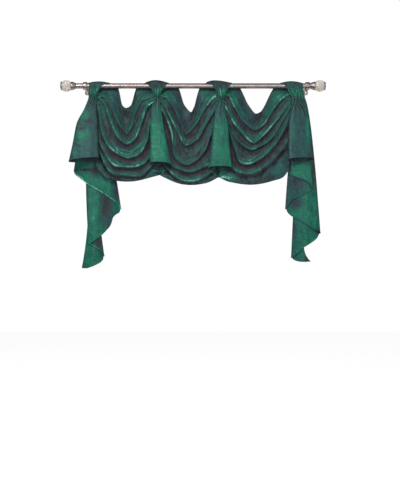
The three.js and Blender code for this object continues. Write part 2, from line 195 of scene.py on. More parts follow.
def make_taffeta():
    """Shot taffeta, a crisp plain weave of green weft over a plum warp. Where the green shows it is emerald,
    where the warp does it is slate, and plum painted as shade deepens folds and undersides. Slubs run across
    it."""
    material, tree = new_material("shot_taffeta")
    cloth_map = add(tree, "ShaderNodeUVMap", {"uv_map": "cloth"})
    green, plum, closeness = (
        add(tree, "ShaderNodeAttribute", {"attribute_name": label}) for label in ("green", "plum", "weft")
    )
    # Each pattern by its size across and down the cloth in millimetres, its detail and its roughness. Slubs
    # are 0.3 mm thick on the real cloth and are drawn 2.4 mm thick, so that they show.
    sizes = {
        "blotch": (15, 34, 3.0, 0.62),
        "weft": (34, 48, 3.0, 0.65),
        "slub": (48, 2.4, 2.0, 0.5),
        "warp": (22, 16, 2.0, 0.6),
        "dent": (26, 17, 1.5, 0.5),
    }
    pattern = {}
    for name, (wide, tall, detail, roughness) in sizes.items():
        place = add(tree, "ShaderNodeMapping", values={"Scale": (1 / (wide * MM), 1 / (tall * MM), 1)},
                    links={"Vector": cloth_map.outputs["UV"]})
        noise = add(tree, "ShaderNodeTexNoise", {"noise_dimensions": "2D"},
                    {"Scale": 1.0, "Detail": detail, "Roughness": roughness}, {"Vector": place.outputs[0]})
        pattern[name] = noise.outputs["Fac"]
    # What each pattern does: which part of its range counts, and what that part is spread over
    uses = {
        "uneven tone": ("blotch", 0.25, 0.75, -0.18, 0.18),
        "packed weft": ("weft", 0.46, 0.66, 0.0, 1.0),
        "slub light": ("slub", 0.25, 0.75, 0.84, 1.18),
        "bare warp": ("warp", 0.3, 0.7, 0.35, 1.0),
        "slub gloss": ("slub", 0.25, 0.75, 0.33, 0.45),
    }
    spread = {}
    for use, (name, *ends) in uses.items():
        ranged = add(tree, "ShaderNodeMapRange", values=dict(enumerate(ends, 1)), links={0: pattern[name]})
        spread[use] = ranged.outputs[0]
    tone = add(tree, "ShaderNodeMath", {"operation": "ADD"},
               links={0: green.outputs["Fac"], 1: spread["uneven tone"]})
    # From the darkest painted fold shade to the painted highlight on a ridge, where the cloth is teal and
    # where the weft is emerald
    places = (0.0, 0.17, 0.32, 0.55, 0.8, 1.0)
    teal_shades = ("#161C20", "#2A373D", "#29484D", "#1F5B52", "#25715D", "#74B5AA")
    weft_shades = ("#161C20", "#2A373D", "#28494B", "#1C5F4C", "#197D53", "#74B5AA")
    teal, emerald = (
        add(tree, "ShaderNodeValToRGB", links={"Fac": tone.outputs[0]}, stops=tuple(zip(places, shades)))
        for shades in (teal_shades, weft_shades)
    )
    weft_share = add(tree, "ShaderNodeMath", {"operation": "MULTIPLY"},
                     links={0: spread["packed weft"], 1: closeness.outputs["Fac"]})
    greens = add(tree, "ShaderNodeMix", {"data_type": "RGBA"},
                 links={0: weft_share.outputs[0], 6: teal.outputs[0], 7: emerald.outputs[0]})
    streaked = add(tree, "ShaderNodeVectorMath", {"operation": "SCALE"},
                   links={0: greens.outputs[2], "Scale": spread["slub light"]})
    # Plum: the warp's own colour a little everywhere, and painted shade where it is strong, in folds, tucks
    # and undersides
    plum_share = add(tree, "ShaderNodeMath", {"operation": "MULTIPLY"},
                     links={0: plum.outputs["Fac"], 1: spread["bare warp"]})
    colour = add(tree, "ShaderNodeMix", {"data_type": "RGBA"}, {7: linear("#412F3D")},
                 {0: plum_share.outputs[0], 6: streaked.outputs[0]})
    gloss = add(tree, "ShaderNodeMath", {"operation": "MULTIPLY_ADD"}, {1: 0.35},
                {0: plum.outputs["Fac"], 2: spread["slub gloss"]})
    # Threads are 0.15 mm apart and are drawn at 1.2 mm
    thread_place = add(tree, "ShaderNodeMapping", values={"Scale": (1 / (1.2 * MM), 1 / (1.2 * MM), 1)},
                       links={"Vector": cloth_map.outputs["UV"]})
    thread = add(tree, "ShaderNodeTexChecker", values={"Scale": 1.0},
                 links={"Vector": thread_place.outputs[0]})
    threads = add(tree, "ShaderNodeMath", {"operation": "MULTIPLY_ADD"}, {1: 0.15},
                  {0: thread.outputs["Fac"], 2: pattern["slub"]})
    # Crisp cloth keeps shallow dents
    dents = add(tree, "ShaderNodeBump", values={"Strength": 0.6, "Distance": 3.0 * MM},
                links={"Height": pattern["dent"]})
    weave = add(tree, "ShaderNodeBump", values={"Strength": 0.3, "Distance": 0.4 * MM},
                links={"Height": threads.outputs[0], "Normal": dents.outputs[0]})
    sheen = {"Sheen Weight": 0.04, "Sheen Roughness": 0.4, "Sheen Tint": linear("#7FC7AB")}
    shader = add(tree, "ShaderNodeBsdfPrincipled",
                 values={"IOR": 1.5, "Specular IOR Level": 0.3, "Specular Tint": linear("#9FE0D0"), **sheen},
                 links={"Base Color": colour.outputs[2], "Roughness": gloss.outputs[0],
                        "Normal": weave.outputs[0]})
    add(tree, "ShaderNodeOutputMaterial", links={"Surface": shader.outputs[0]})
    return material


def make_grained(name, grain, stops, relief, values, gloss=None):
    """A material with an uneven grain of that many millimetres each way, seen in its colour and its relief
    (strength and height) and, where two ends are given, in its gloss."""
    material, tree = new_material(name)
    place = add(tree, "ShaderNodeTexCoord")
    scaled = add(tree, "ShaderNodeMapping", values={"Scale": [1 / (size * MM) for size in grain]},
                 links={"Vector": place.outputs["Object"]})
    noise = add(tree, "ShaderNodeTexNoise", values={"Scale": 1.0, "Detail": 1.0},
                links={"Vector": scaled.outputs[0]})
    colour = add(tree, "ShaderNodeValToRGB", links={"Fac": noise.outputs["Fac"]}, stops=stops)
    raised = add(tree, "ShaderNodeBump", values={"Strength": relief[0], "Distance": relief[1] * MM},
                 links={"Height": noise.outputs["Fac"]})
    links = {"Base Color": colour.outputs["Color"], "Normal": raised.outputs[0]}
    if gloss:
        ranged = add(tree, "ShaderNodeMapRange", values={1: 0.25, 2: 0.75, 3: gloss[0], 4: gloss[1]},
                     links={0: noise.outputs["Fac"]})
        links["Roughness"] = ranged.outputs[0]
    shader = add(tree, "ShaderNodeBsdfPrincipled", values=values, links=links)
    add(tree, "ShaderNodeOutputMaterial", links={"Surface": shader.outputs[0]})
    return material


TAFFETA = make_taffeta()

# Satin nickel plate on steel, brushed along the tube: warm grey with a soft bright line and fine streaks.
# Brush marks are 0.1 mm wide and are drawn 0.9 mm wide.
NICKEL = make_grained("satin_nickel_plate", (240, 0.9, 0.9), ((0.25, "#918887"), (0.75, "#9D9493")),
                      (0.012, 0.1), {"Metallic": 1.0, "Specular Tint": linear("#8C776F")}, gloss=(0.36, 0.42))

# Pressed glass with fire-polished flutes: clear and a little warm, with slow waves from the mould, about 9 mm
# apart, that break up what is seen through it.
GLASS = make_grained("pressed_glass", (9, 9, 9), ((0.3, "#EDE5D8"), (0.7, "#FBF7EF")), (0.2, 0.8),
                     {"Roughness": 0.3, "IOR": 1.5, "Transmission Weight": 0.55})

# Spun polyester sewing thread: dull dark green, a little lighter than the cloth's folds. Its twist is 0.4 mm
# long and is drawn at 0.8 mm.
THREAD = make_grained("spun_polyester_thread", (0.8, 0.8, 0.8), ((0.3, "#173F38"), (0.7, "#2C6E5E")),
                      (0.3, 0.1), {"Roughness": 0.6, "IOR": 1.5})


# Cloth, laid out in millimetres: x along the rod, z up, and depth forward of the rod's axis. Its tone runs
# from 0 in the darkest fold, painted shade, to 1 on the palest ridge, a painted highlight.

rod_low, rod_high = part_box("rod")
ROD_RADIUS = (rod_high.z - rod_low.z) / 2 / MM
ROD_STANDOFF = -(rod_low.y + rod_high.y) / 2 / MM
FIT = 0.3  # gap between pieces that meet
HALF_CLOTH = 0.6
HEM_WIDTH = 9
HEM_SWELL = 0.9  # how much a turned hem adds to each side of the cloth
HEM_STEP = 2.2  # over which the turned edge falls back to the cloth
HEM_ROUND = 1.6  # over which the lower edge is rounded
HEM_EDGE = 0.45  # share of the thickness left at the lower edge
HEM_ROWS = (13, 11.5, 10.4, 9.6, 9, 8.4, 7.6, 6, 4.2, 2.4, 1.1, 0.4, 0)  # distances above the edge
RIPPLE_WAVES = 9  # waves laid over each other in a ripple
RIPPLE_STRETCH = (0.7, 1.5)  # their shortest and longest, by the length asked for
RIPPLE_SPREAD = 3.5  # brings their sum to about -1 to 1
PLEAT_DRIFT = (0.35, 0.12)  # how far pleats wander from even places, slowly and quickly
PLEAT_ROUND = 0.02  # keeps the valleys between pleats from being sharp
PLEAT_LEAST = 0.3  # share of its depth that a pleat keeps where it is drawn tightest
TAB_SEED = 11  # for the jabots too, so that their pleats go on from the tabs'
SWAG_SEED = 21
TAIL_SEED = 41
hem_lines = []  # front of each hem, along its stitched edge


def at(x, depth, z):
    """Points in metres from x, the depth forward of the rod's axis, and z in millimetres."""
    x, depth, z = np.broadcast_arrays(x, depth, z)
    return np.stack([x, -ROD_STANDOFF - depth, z], axis=-1) * MM


def between(rows, place):
    """Rows of values at places from 0 to 1, on a curve that is level at each crest and trough."""
    rows = np.asarray(rows, float)
    steps = np.diff(rows, axis=0)
    before = np.concatenate([steps[:1], steps])
    after = np.concatenate([steps, steps[-1:]])
    same_way = before * after > 0
    slopes = np.where(same_way, 2 * before * after / np.where(same_way, before + after, 1), 0)
    spot = np.asarray(place, float) * (len(rows) - 1)
    i = np.minimum(spot.astype(int), len(rows) - 2)
    t = (spot - i).reshape((-1,) + (1,) * (rows.ndim - 1))
    ease = t * t * (3 - 2 * t)
    lead = t * (1 - t) ** 2 * slopes[i]
    trail = t * t * (1 - t) * slopes[i + 1]
    return mix(rows[i], rows[i + 1], ease) + lead - trail


def line_across(points, pointed, across):
    """A round curve through (x, z) points, drawn towards straight legs by pointed, at shares from 0 to 1."""
    points = np.asarray(points, float)
    whole = np.concatenate([[2 * points[0] - points[1]], points, [2 * points[-1] - points[-2]]])
    spans = np.linalg.norm(np.diff(whole, axis=0), axis=1) ** 0.5
    spot = across * (len(points) - 1)
    i = np.minimum(spot.astype(int), len(points) - 2)
    t = (spot - i)[:, None]
    a, b, c, d = (whole[i + k] for k in range(4))
    ab, bc, cd = (spans[i + k][:, None] for k in range(3))
    leave = ((b - a) / ab - (c - a) / (ab + bc) + (c - b) / bc) * bc
    arrive = ((c - b) / bc - (d - b) / (bc + cd) + (d - c) / cd) * bc
    curve = b + t * leave + t**2 * (3 * (c - b) - 2 * leave - arrive) + t**3 * (2 * (b - c) + leave + arrive)
    return mix(curve, mix(b, c, t), pointed)


def near_line(x, z, line):
    """How far each place is from a line of (x, z) points, and at what share of the line it is nearest."""
    gaps = np.hypot(x.ravel()[:, None] - line[:, 0], z.ravel()[:, None] - line[:, 1])
    nearest = np.argmin(gaps, axis=1)
    share = nearest / (len(line) - 1)
    return gaps[np.arange(len(nearest)), nearest].reshape(x.shape), share.reshape(x.shape)


def along(share, values):
    """Values spread evenly along a line, read at a share of its length."""
    return np.interp(share, np.linspace(0, 1, len(values)), values)


def ripples(x, z, length, seed):
    """Soft uneven waves of about that length over a surface, mostly from -1 to 1."""
    rng = np.random.default_rng(seed)
    total = 0
    for _ in range(RIPPLE_WAVES):
        turn = rng.uniform(0, 2 * np.pi)
        wave = 2 * np.pi / (length * rng.uniform(*RIPPLE_STRETCH))
        phase = rng.uniform(0, 2 * np.pi)
        total = total + np.sin(wave * (x * np.cos(turn) + z * np.sin(turn)) + phase)
    return total / RIPPLE_SPREAD


def waves(x, z, height_and_length, seed):
    height, length = height_and_length
    return height * ripples(x, z, length, seed)


def pleats(across, count, seed):
    """Uneven small pleats with round crests and narrow valleys, from -1 to 1."""
    slow, quick = PLEAT_DRIFT
    shift = slow * np.sin(2 * np.pi * across + seed) + quick * np.sin(6 * np.pi * across + 2 * seed)
    return 2 * np.sqrt(np.cos(np.pi * (count * across + shift)) ** 2 + PLEAT_ROUND) - 1


def drawn_in(across, focus, tightness):
    """Shares across the gathers, drawn to a focus, and how much of its depth a pleat keeps there."""
    reach = np.where(across < focus, focus, 1 - focus)
    away = np.abs(across - focus) / reach
    share = focus + np.sign(across - focus) * reach * away**tightness
    kept = PLEAT_LEAST + (1 - PLEAT_LEAST) * tightness * away ** (tightness - 1)
    return share, np.clip(kept, 0, 1)


def patches(x, z, base, spots):
    """A base tone with soft spots, each by its middle, its half sizes and its strength."""
    tone = base
    for middle_x, middle_z, half_x, half_z, strength in spots:
        tone = tone + strength * bump(x - middle_x, half_x) * bump(z - middle_z, half_z)
    return tone


def up_facing(x, depth, z):
    """How far a sheet faces up, from -1 to 1."""
    points = np.stack([x, -depth, z], axis=-1)
    normal = np.cross(np.gradient(points, axis=0), np.gradient(points, axis=1))
    return normal[..., 2] / np.linalg.norm(normal, axis=-1)


def rows_to_hem(count, length):
    """Shares down a piece of that length, close together at the hem."""
    hem = 1 - np.array(HEM_ROWS) / length
    return np.concatenate([np.linspace(0, hem[0], count, endpoint=False), hem])


def make_mesh(name, points, faces, material):
    mesh = bpy.data.meshes.new(name)
    mesh.from_pydata(np.asarray(points).tolist(), [], np.asarray(faces).tolist())
    mesh.materials.append(material)
    mesh.shade_smooth()
    return mesh


def grid_faces(rows, columns):
    """Quads of a grid of points that face the viewer when columns run to the right and rows run down."""
    index = np.arange(rows * columns).reshape(rows, columns)
    corners = [index[:-1, :-1], index[1:, :-1], index[1:, 1:], index[:-1, 1:]]
    return np.stack([c.ravel() for c in corners], axis=-1), index


def make_cloth(name, middle, green, plum, hemmed=True, weft=1.0):
    """A closed sheet of cloth around a grid of points, with a turned hem along its last row."""
    rows, columns = middle.shape[:2]
    normal = np.cross(np.gradient(middle, axis=0), np.gradient(middle, axis=1))
    normal /= np.linalg.norm(normal, axis=-1, keepdims=True)
    steps_down = np.linalg.norm(np.diff(middle, axis=0), axis=-1)
    steps_across = np.linalg.norm(np.diff(middle, axis=1), axis=-1)
    fall = np.concatenate([np.zeros((1, columns)), np.cumsum(steps_down, axis=0)])
    run = np.concatenate([np.zeros((rows, 1)), np.cumsum(steps_across, axis=1)], axis=1)
    run = run - run[:, columns // 2][:, None]
    half = np.full((rows, columns), HALF_CLOTH)
    if hemmed:
        above_edge = (fall[-1] - fall) / MM
        half = half + HEM_SWELL * (1 - smooth(above_edge, HEM_WIDTH - HEM_STEP, HEM_WIDTH))
        half = half * mix(HEM_EDGE, 1, smooth(above_edge, 0, HEM_ROUND))
    offset = normal * half[..., None] * MM
    if hemmed:
        hem_lines.append((middle + offset)[HEM_ROWS.index(HEM_WIDTH) - len(HEM_ROWS)])
    points = np.concatenate([(middle + offset).reshape(-1, 3), (middle - offset).reshape(-1, 3)])
    quads, index = grid_faces(rows, columns)
    count = rows * columns
    rim = np.concatenate([index[:-1, 0], index[-1, :-1], index[:0:-1, -1], index[0, :0:-1]])
    after = np.roll(rim, -1)
    edge = np.stack([after, rim, rim + count, after + count], axis=-1)
    faces = np.concatenate([quads, quads[:, ::-1] + count, edge])
    mesh = make_mesh(name, points, faces, TAFFETA)
    # green carries the tone with its painted highlights and painted shade; plum carries the warp's plum and
    # painted plum shade
    for label, values in (("green", green), ("plum", plum), ("weft", weft)):
        flat = np.broadcast_to(values, (rows, columns)).ravel()
        mesh.attributes.new(label, "FLOAT", "POINT").data.foreach_set("value", np.tile(flat, 2))
    places = np.tile(np.stack([run, -fall], axis=-1).reshape(-1, 2), (2, 1))
    layer = mesh.uv_layers.new(name="cloth")
    layer.data.foreach_set("uv", places[faces.ravel()].ravel())
    piece = link_object(name + "_cloth", mesh)
    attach(piece, "root")
    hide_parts(name)
    return piece


# Tabs: edges behind the rod, of the cap over it, of the front and of the gathers; height of the gathers,
# puff of the cap and its lean (below 1 to the left), how green the cap and the gathers are, and where across
# the gathers the pleats are drawn to and how tightly
TABS = [
    ("tab_1", (-505, -389), (-505, -401), (-499, -438), (-504, -456), -52, 7, 1, (0.3, 0.55), (0.72, 2.3)),
    ("tab_2", (-242, -106), (-230, -118), (-212, -131), (-186, -158), -56, 13, 0.85, (0.15, 0.6), (0.5, 1)),
    ("tab_3", (51, 197), (63, 185), (93, 176), (124, 150), -64, 12, 0.66, (0.15, 0.62), (0.5, 1)),
    ("tab_4", (408, 522), (420, 522), (439, 526), (466, 541), -66, 8, 1, (0.3, 0.55), (0.4, 2.4)),
]
TAB_GRID = 97
TAB_RADIUS = ROD_RADIUS + 1.9  # middle of the cloth over the rod
TAB_BACK_DROP = 10
TAB_TURNS = 20  # steps over the rod
TAB_GATHERS = (0.12, 0.35, 0.55, 0.75, 0.9, 1)
TAB_RIPPLE = (0.6, 22)  # height and length of its waves, as for each ripple below
TAB_CAP_PLEAT = 0.25  # share of the pleats' depth that runs up over the rod
TAB_PLUM = 0.15
KNOT_DEPTH = 14
KNOT_BULGE = 8
KNOT_WRAP = math.radians(100)
KNOT_HEIGHT = 8
KNOT_PLEATS = 7
KNOT_PLEAT_DEPTH = 2.2
KNOT_PINCH = 0.85
KNOT_SHADOW = 0.45  # half the share of the gathers that is dark at the knot
# painted shade at the knot
KNOT_PAINTED_SHADE = 0.25
PLEAT_PAINTED_LIGHT = (0.3, 0.2)  # painted highlight: how much a pleat's crest is lighter where it is drawn tight and where it isn't
# painted plum shade in the pleats' valleys
PLEAT_PAINTED_SHADE = 0.7
# painted shade where the gathers turn away at their sides
SIDE_PAINTED_SHADE = 0.3


def make_tab(name, back, cap, front, knot, knot_z, puff, lean, greens, gathers, seed):
    """A tab: up behind the rod, over it, and down in front to the gathers."""
    stations = [(*back, -TAB_RADIUS, -TAB_BACK_DROP, 0, 0)]
    for share in np.linspace(0, 1, TAB_TURNS + 1):
        angle = np.pi * (1 - share)
        ends = back if share < 0.5 else front
        near = abs(share - 0.5) * 2
        left, right = mix(cap[0], ends[0], near), mix(cap[1], ends[1], near)
        lift = puff * np.sin(angle)
        stations.append((left, right, TAB_RADIUS * np.cos(angle), TAB_RADIUS * np.sin(angle), 0, lift))
    for gather in TAB_GATHERS:
        left, right = mix(front[0], knot[0], gather), mix(front[1], knot[1], gather)
        stations.append((left, right, TAB_RADIUS, (knot_z + KNOT_HEIGHT) * gather, gather, 0))
    stations.append((*knot, TAB_RADIUS, knot_z, 1, 0))
    down = across = np.linspace(0, 1, TAB_GRID)
    left, right, depth, z, gather, lift = (c[:, None] for c in between(stations, down).T)
    drawn, kept = drawn_in(across, *gathers)
    crimp = pleats(across, KNOT_PLEATS, seed)
    flat_x = mix(left, right, across)
    flat_z = z + lift * np.sin(np.pi * across**lean)
    angle = (drawn * 2 - 1) * KNOT_WRAP
    knot_x = mix(left, right, 0.5 + KNOT_PINCH * np.sin(angle) / 2)
    knot_depth = KNOT_DEPTH + KNOT_BULGE * np.cos(angle)
    x = mix(flat_x, knot_x, gather)
    forward = np.maximum(depth, 0) / TAB_RADIUS
    pleat_share = mix(TAB_CAP_PLEAT * forward, mix(1, kept, gather), smooth(gather, 0, 0.5))
    final_z = mix(flat_z, z, gather)
    ripple = waves(x, final_z, TAB_RIPPLE, seed) * forward
    final_depth = mix(depth, knot_depth, gather) + crimp * KNOT_PLEAT_DEPTH * pleat_share + ripple
    # Painted highlight on the pleats' crests, painted shade at the gathers' sides and at the knot, painted
    # plum shade in the valleys
    fan = smooth(gather, 0.02, 0.4)
    tone = mix(*greens, smooth(gather, 0.05, 0.5)) + mix(*PLEAT_PAINTED_LIGHT, kept) * crimp * fan
    tone = tone - SIDE_PAINTED_SHADE * smooth(np.abs(drawn - 0.5), 0.25, 0.5) * fan
    tone = tone - KNOT_PAINTED_SHADE * smooth(gather, 0.85, 1) * bump(drawn - gathers[0], KNOT_SHADOW)
    shade = TAB_PLUM + PLEAT_PAINTED_SHADE * fan * smooth(-crimp, 0.1, 0.9)
    piece = make_cloth(name, at(x, np.maximum(final_depth, depth), final_z), tone, shade, hemmed=False)


# Swags: the notched top edge, then each fold by nine points from its left end over its lowest point to its
# right end, how pointed it is, how far it stands forward, how wide its ridge is (left, middle, right), how
# green its painted ridge highlight is along its length, and how much plum is painted as shade into the
# tuck below it (left, middle, right). The last is the hem, which has no ridge.
# Then come lesser creases by their points, width, height and painted highlight, soft patches of lighter and
# darker tone, the dark ones at the sides painted shade beside the jabots, how far each side laps to the side
# and back, and how much each side is shirred.
SWAGS = [
    ("swag_1",
     [(-470, 0), (-416, 3), (-366, 3), (-340, -92), (-322, -105), (-300, -92), (-268, 3), (-222, 3),
      (-174, 0)],
     [([(-461, -38), (-428, -57), (-388, -114), (-356, -184), (-318, -231), (-294, -188), (-277, -130),
        (-244, -64), (-174, -34)], 0.5, 13, (8, 6, 8), (0.2, 0.45, 0.3, 0.45, 0.15), (0.5, 0.7, 0.6)),
      ([(-463, -54), (-424, -92), (-396, -168), (-362, -242), (-319, -281), (-280, -257), (-250, -188),
        (-221, -108), (-173, -62)], 0.2, 27, (16, 8, 11), (0.3, 0.42, 0.5, 0.8, 0.5), (0.4, 0.8, 0.6)),
      ([(-464, -80), (-450, -140), (-431, -242), (-392, -303), (-316, -348), (-256, -326), (-221, -266),
        (-205, -190), (-171, -86)], 0, 36, (6, 9, 8), (0.35, 0.45, 0.75, 0.55, 0.2), (0.7, 1, 0.9)),
      ([(-467, -205), (-447, -272), (-412, -341), (-374, -384), (-314, -392), (-260, -386), (-222, -361),
        (-196, -325), (-168, -222)], 0, 40, (7, 9, 8), (0.1, 0.6, 0.75, 0.35, 0.2), (0.6, 0.9, 0.6)),
      ([(-470, -290), (-446, -322), (-418, -381), (-388, -421), (-316, -432), (-248, -432), (-217, -406),
        (-194, -378), (-164, -322)], 0, 37, (6, 7, 6), (0.4, 0.5, 0.5, 0.4, 0.2), (0.3, 0.25, 0.3)),
      ([(-464, -392), (-440, -426), (-405, -447), (-362, -457), (-312, -460.5), (-264, -456), (-222, -445.5),
        (-188, -436), (-159.5, -428)], 0, 24)],
     [([(-402, -243), (-371, -287), (-347, -307), (-323, -311), (-300, -319), (-273, -304), (-253, -281),
        (-232, -243)], 6, 4, 0.4),
      ([(-450, -70), (-437, -108), (-425, -150), (-409, -210)], 6, 3.5, 0.3),
      ([(-466, -366), (-446, -398), (-419, -432)], 7, 4, 0.4),
      ([(-400, -18), (-385, -60), (-362, -110), (-340, -150)], 9, 3, 0.1),
      ([(-166, -420), (-182, -408), (-204, -402)], 5, 5, 0.4),
      ([(-164, -405), (-176, -392), (-192, -388)], 4, 4, 0.3),
      ([(-168, -430), (-190, -427), (-214, -431)], 4, 4, 0.35),
      ([(-238, -72), (-216, -60), (-190, -60)], 4.5, 5, 0.5),
      ([(-244, -96), (-220, -78), (-190, -70)], 4, 5, 0.35),
      ([(-240, -122), (-216, -98), (-190, -80)], 4.5, 5, 0.5)],
     [(-240, -36, 22, 34, 0.3), (-360, -382, 22, 12, 0.3), (-398, -36, 24, 32, 0.24),
      (-448, -300, 14, 50, -0.16), (-205, -290, 12, 60, -0.14), (-404, -160, 14, 40, 0.12),
      (-190, -100, 14, 18, 0.2), (-322, -146, 26, 32, -0.2)],
     ((-4, -6), (8, -6)), (1, 1)),
    ("swag_2",
     [(-170, 0), (-120, 3), (-76, 3), (-42, -90), (-10, -125), (4, -100), (37, 3), (86, 3), (134, 0)],
     [([(-169, -46), (-128, -61), (-94, -103), (-64, -171), (-30, -233), (14, -182), (49, -123), (84, -72),
        (132, -30)], 0.5, 13, (6, 6, 9), (0.2, 0.25, 0.25, 0.6, 0.35), (0.6, 0.8, 0.7)),
      ([(-168, -66), (-136, -102), (-106, -160), (-66, -238), (-34, -288), (20, -258), (60, -190), (98, -128),
        (131, -70)], 0.3, 27, (8, 7, 8), (0.7, 0.55, 0.6, 0.5, 0.3), (0.9, 0.9, 0.5)),
      ([(-166, -90), (-136, -140), (-104, -222), (-86, -342), (-34, -381), (22, -354), (60, -306), (88, -228),
        (130, -94)], 0.1, 36, (10, 7, 7), (0.5, 0.75, 0.4, 0.35, 0.1), (1, 1, 1)),
      ([(-163, -235), (-132, -330), (-100, -386), (-66, -400), (-16, -414), (32, -399), (74, -378),
        (104, -330), (127, -240)], 0, 40, (8, 9, 8), (0.1, 0.4, 0.6, 0.5, 0.3), (0.5, 0.8, 0.6)),
      ([(-160, -345), (-128, -392), (-98, -423), (-60, -451), (-8, -460), (42, -444), (80, -418), (104, -388),
        (122, -350)], 0, 37, (7, 9, 8), (0.3, 0.5, 0.6, 0.6, 0.3), (0.2, 0.1, 0.2)),
      ([(-156, -431), (-130, -444), (-98, -459), (-58, -472), (-8, -476.5), (40, -472), (76, -463),
        (100, -451), (118, -440)], 0, 24)],
     [([(-49, -274), (-35, -301), (-21, -325), (-4, -349)], 5, 4, 0.3),
      ([(10, -340), (25, -315), (46, -288), (62, -250)], 6, 3, 0.15),
      ([(-150, -60), (-132, -82), (-116, -110)], 7, 4, 0.35),
      ([(-110, -18), (-88, -60), (-62, -110)], 8, 3, 0.15),
      ([(-150, -424), (-136, -408), (-116, -400)], 5, 5, 0.4),
      ([(-148, -436), (-128, -432), (-106, -440)], 4, 4, 0.4),
      ([(-150, -400), (-138, -390), (-122, -388)], 4, 4, 0.3),
      ([(112, -432), (98, -416), (80, -404)], 5, 5, 0.45),
      ([(112, -442), (96, -440), (76, -448)], 4, 4, 0.35),
      ([(112, -410), (100, -398), (84, -392)], 4, 4, 0.35)],
     [(96, -62, 18, 24, 0.35), (52, -36, 20, 26, 0.4), (-118, -40, 24, 26, 0.28), (20, -455, 50, 12, 0.15),
      (-122, -310, 16, 80, -0.22), (88, -320, 16, 60, -0.22), (-4, -388, 70, 10, -0.12),
      (-20, -325, 60, 40, -0.14), (-15, -200, 40, 40, -0.1)],
     ((-1, -2), (8, -6)), (1, 1)),
    ("swag_3",
     [(138, 0), (182, 3), (218, 3), (264, -86), (300, -132), (327, -120), (396, 3), (440, 3), (484, 0)],
     [([(137, -40), (171, -50), (198, -104), (243, -171), (297, -214), (340, -183), (380, -120), (426, -62),
        (476, -32)], 0.4, 13, (8, 6, 10), (0.2, 0.5, 0.35, 0.6, 0.35), (0.8, 0.7, 0.8)),
      ([(136, -66), (160, -112), (192, -176), (240, -234), (290, -277), (338, -237), (390, -178), (432, -126),
        (476, -66)], 0.3, 27, (8, 8, 9), (0.5, 0.6, 0.6, 0.65, 0.3), (0.6, 0.5, 0.8)),
      ([(135, -86), (156, -150), (186, -230), (230, -282), (277, -308), (330, -288), (378, -250), (424, -180),
        (476, -92)], 0.1, 33, (6, 7, 6), (0, 0.05, 0.55, 0.35, 0), (0.1, 0.35, 0.5)),
      ([(132, -112), (164, -190), (196, -291), (224, -366), (262, -377), (318, -353), (378, -298),
        (432, -220), (474, -122)], 0, 39, (7, 9, 8), (0.1, 0.35, 0.75, 0.45, 0.2), (0.9, 1, 0.7)),
      ([(127, -260), (160, -350), (200, -406), (234, -418), (272, -423), (320, -406), (376, -363),
        (425, -310), (466, -250)], 0, 38, (8, 10, 9), (0.2, 0.5, 0.65, 0.2, 0.05), (0.2, 0.1, 0.2)),
      ([(121.5, -437), (162, -458), (200, -467), (236, -473), (277, -475.5), (330, -470), (384, -456),
        (428, -441), (456, -410)], 0, 24)],
     [([(184, -22), (213, -76), (244, -130), (270, -163)], 9, 4, 0.3),
      ([(420, -24), (392, -64), (362, -116), (338, -150)], 9, 3, 0.2),
      ([(126, -428), (142, -414), (164, -410)], 5, 5, 0.4),
      ([(126, -438), (148, -440), (176, -450)], 5, 4, 0.45),
      ([(128, -412), (140, -398), (156, -392)], 4, 4, 0.3)],
     [(408, -42, 26, 30, 0.38), (196, -46, 20, 34, 0.34), (408, -404, 26, 30, 0.42),
      (170, -438, 38, 18, 0.7), (180, -330, 18, 70, -0.22), (172, -210, 10, 60, -0.14),
      (280, -335, 60, 26, -0.12), (300, -160, 40, 30, -0.12)],
     ((-1, -2), (12, -14)), (1, 0.2)),
]
SWAG_COLUMNS = 131
SWAG_ROWS = 190
SWAG_LENGTH = 480
LINE_STEPS = np.linspace(0, 1, 260)  # places along a line from which its distance is measured
SWAG_TONE = 0.24
SWAG_TONE_RIPPLE = (0.08, 70)
SWAG_PLUM = 0.22
SWAG_GREENEST = 0.97
SWAG_WEFT = 0.35  # share of the emerald weft that shows on the bias of a swag
SWAG_RIPPLE = (1.2, 60)
BAND_DEPTH = -(TAB_RADIUS + 1.9)  # of the corners, sewn behind the tabs
BAND_DROP = 15
BAND_SHARE = 0.45
# painted shade on the top rows, under the rod
BAND_PAINTED_SHADE = 0.12
NOTCH_DEPTH = -6
NOTCH_POINTED = 0.35
NOTCH_START = 0.25
SIDE_DEPTH = 8  # of both sides, below the band
SWELL_POWER = 1.5  # above 1 a swag bulges more in the middle
FOLD_LENGTH = 500
FOLD_ENDS = 0.3  # how much of a fold is left at its ends
FOLD_END_SHARE = 0.16  # share of its length over which it fades
FOLD_LIFTS = (0.55, 1.2)  # how far a dull fold and a bright one stand out
RIDGE_HEIGHT = 8
RIDGE_SET_BACK = 0.6  # share of that height by which the sheet under it lies further back
RIDGE_FALLS = (0.7, 1.2)  # how soon a ridge falls off below and above, in widths of the ridge
RIDGE_WANDER = 0.2  # how much its width varies
RIDGE_WANDER_LENGTH = 90
# Painted highlight along each ridge: a broad glow and a narrow light line
RIDGE_GLOW = 0.65
RIDGE_GLOW_REACH = (0.6, 1.25)  # below and above, in widths of the ridge
RIDGE_LINE = 2.6  # half the width of the painted light line along a ridge
RIDGE_LINE_GLOW = 0.7
RIDGE_LINE_FAINT = 0.3  # how much of it is left where it is faintest
GREEN_RIPPLE = (0.3, 60)
CREST_ROUND = 2.5
CREASE_SPACING = 2.1  # from a ridge up to the lesser crease above it, in widths of the ridge
CREASE_BREAK_LENGTH = 130
CREASE_HEIGHT = 2.2
# painted highlight on a crease, by that on its ridge
CREASE_GLOW = 0.8
TUCK_DEPTH = 8
TUCK_DROP = 2  # below its ridge, in widths of the ridge
TUCK_DROP_SHARE = 0.42  # at most, of the way to the next fold
TUCK_REACH = 0.8  # how far it reaches up and down, as a share of its drop
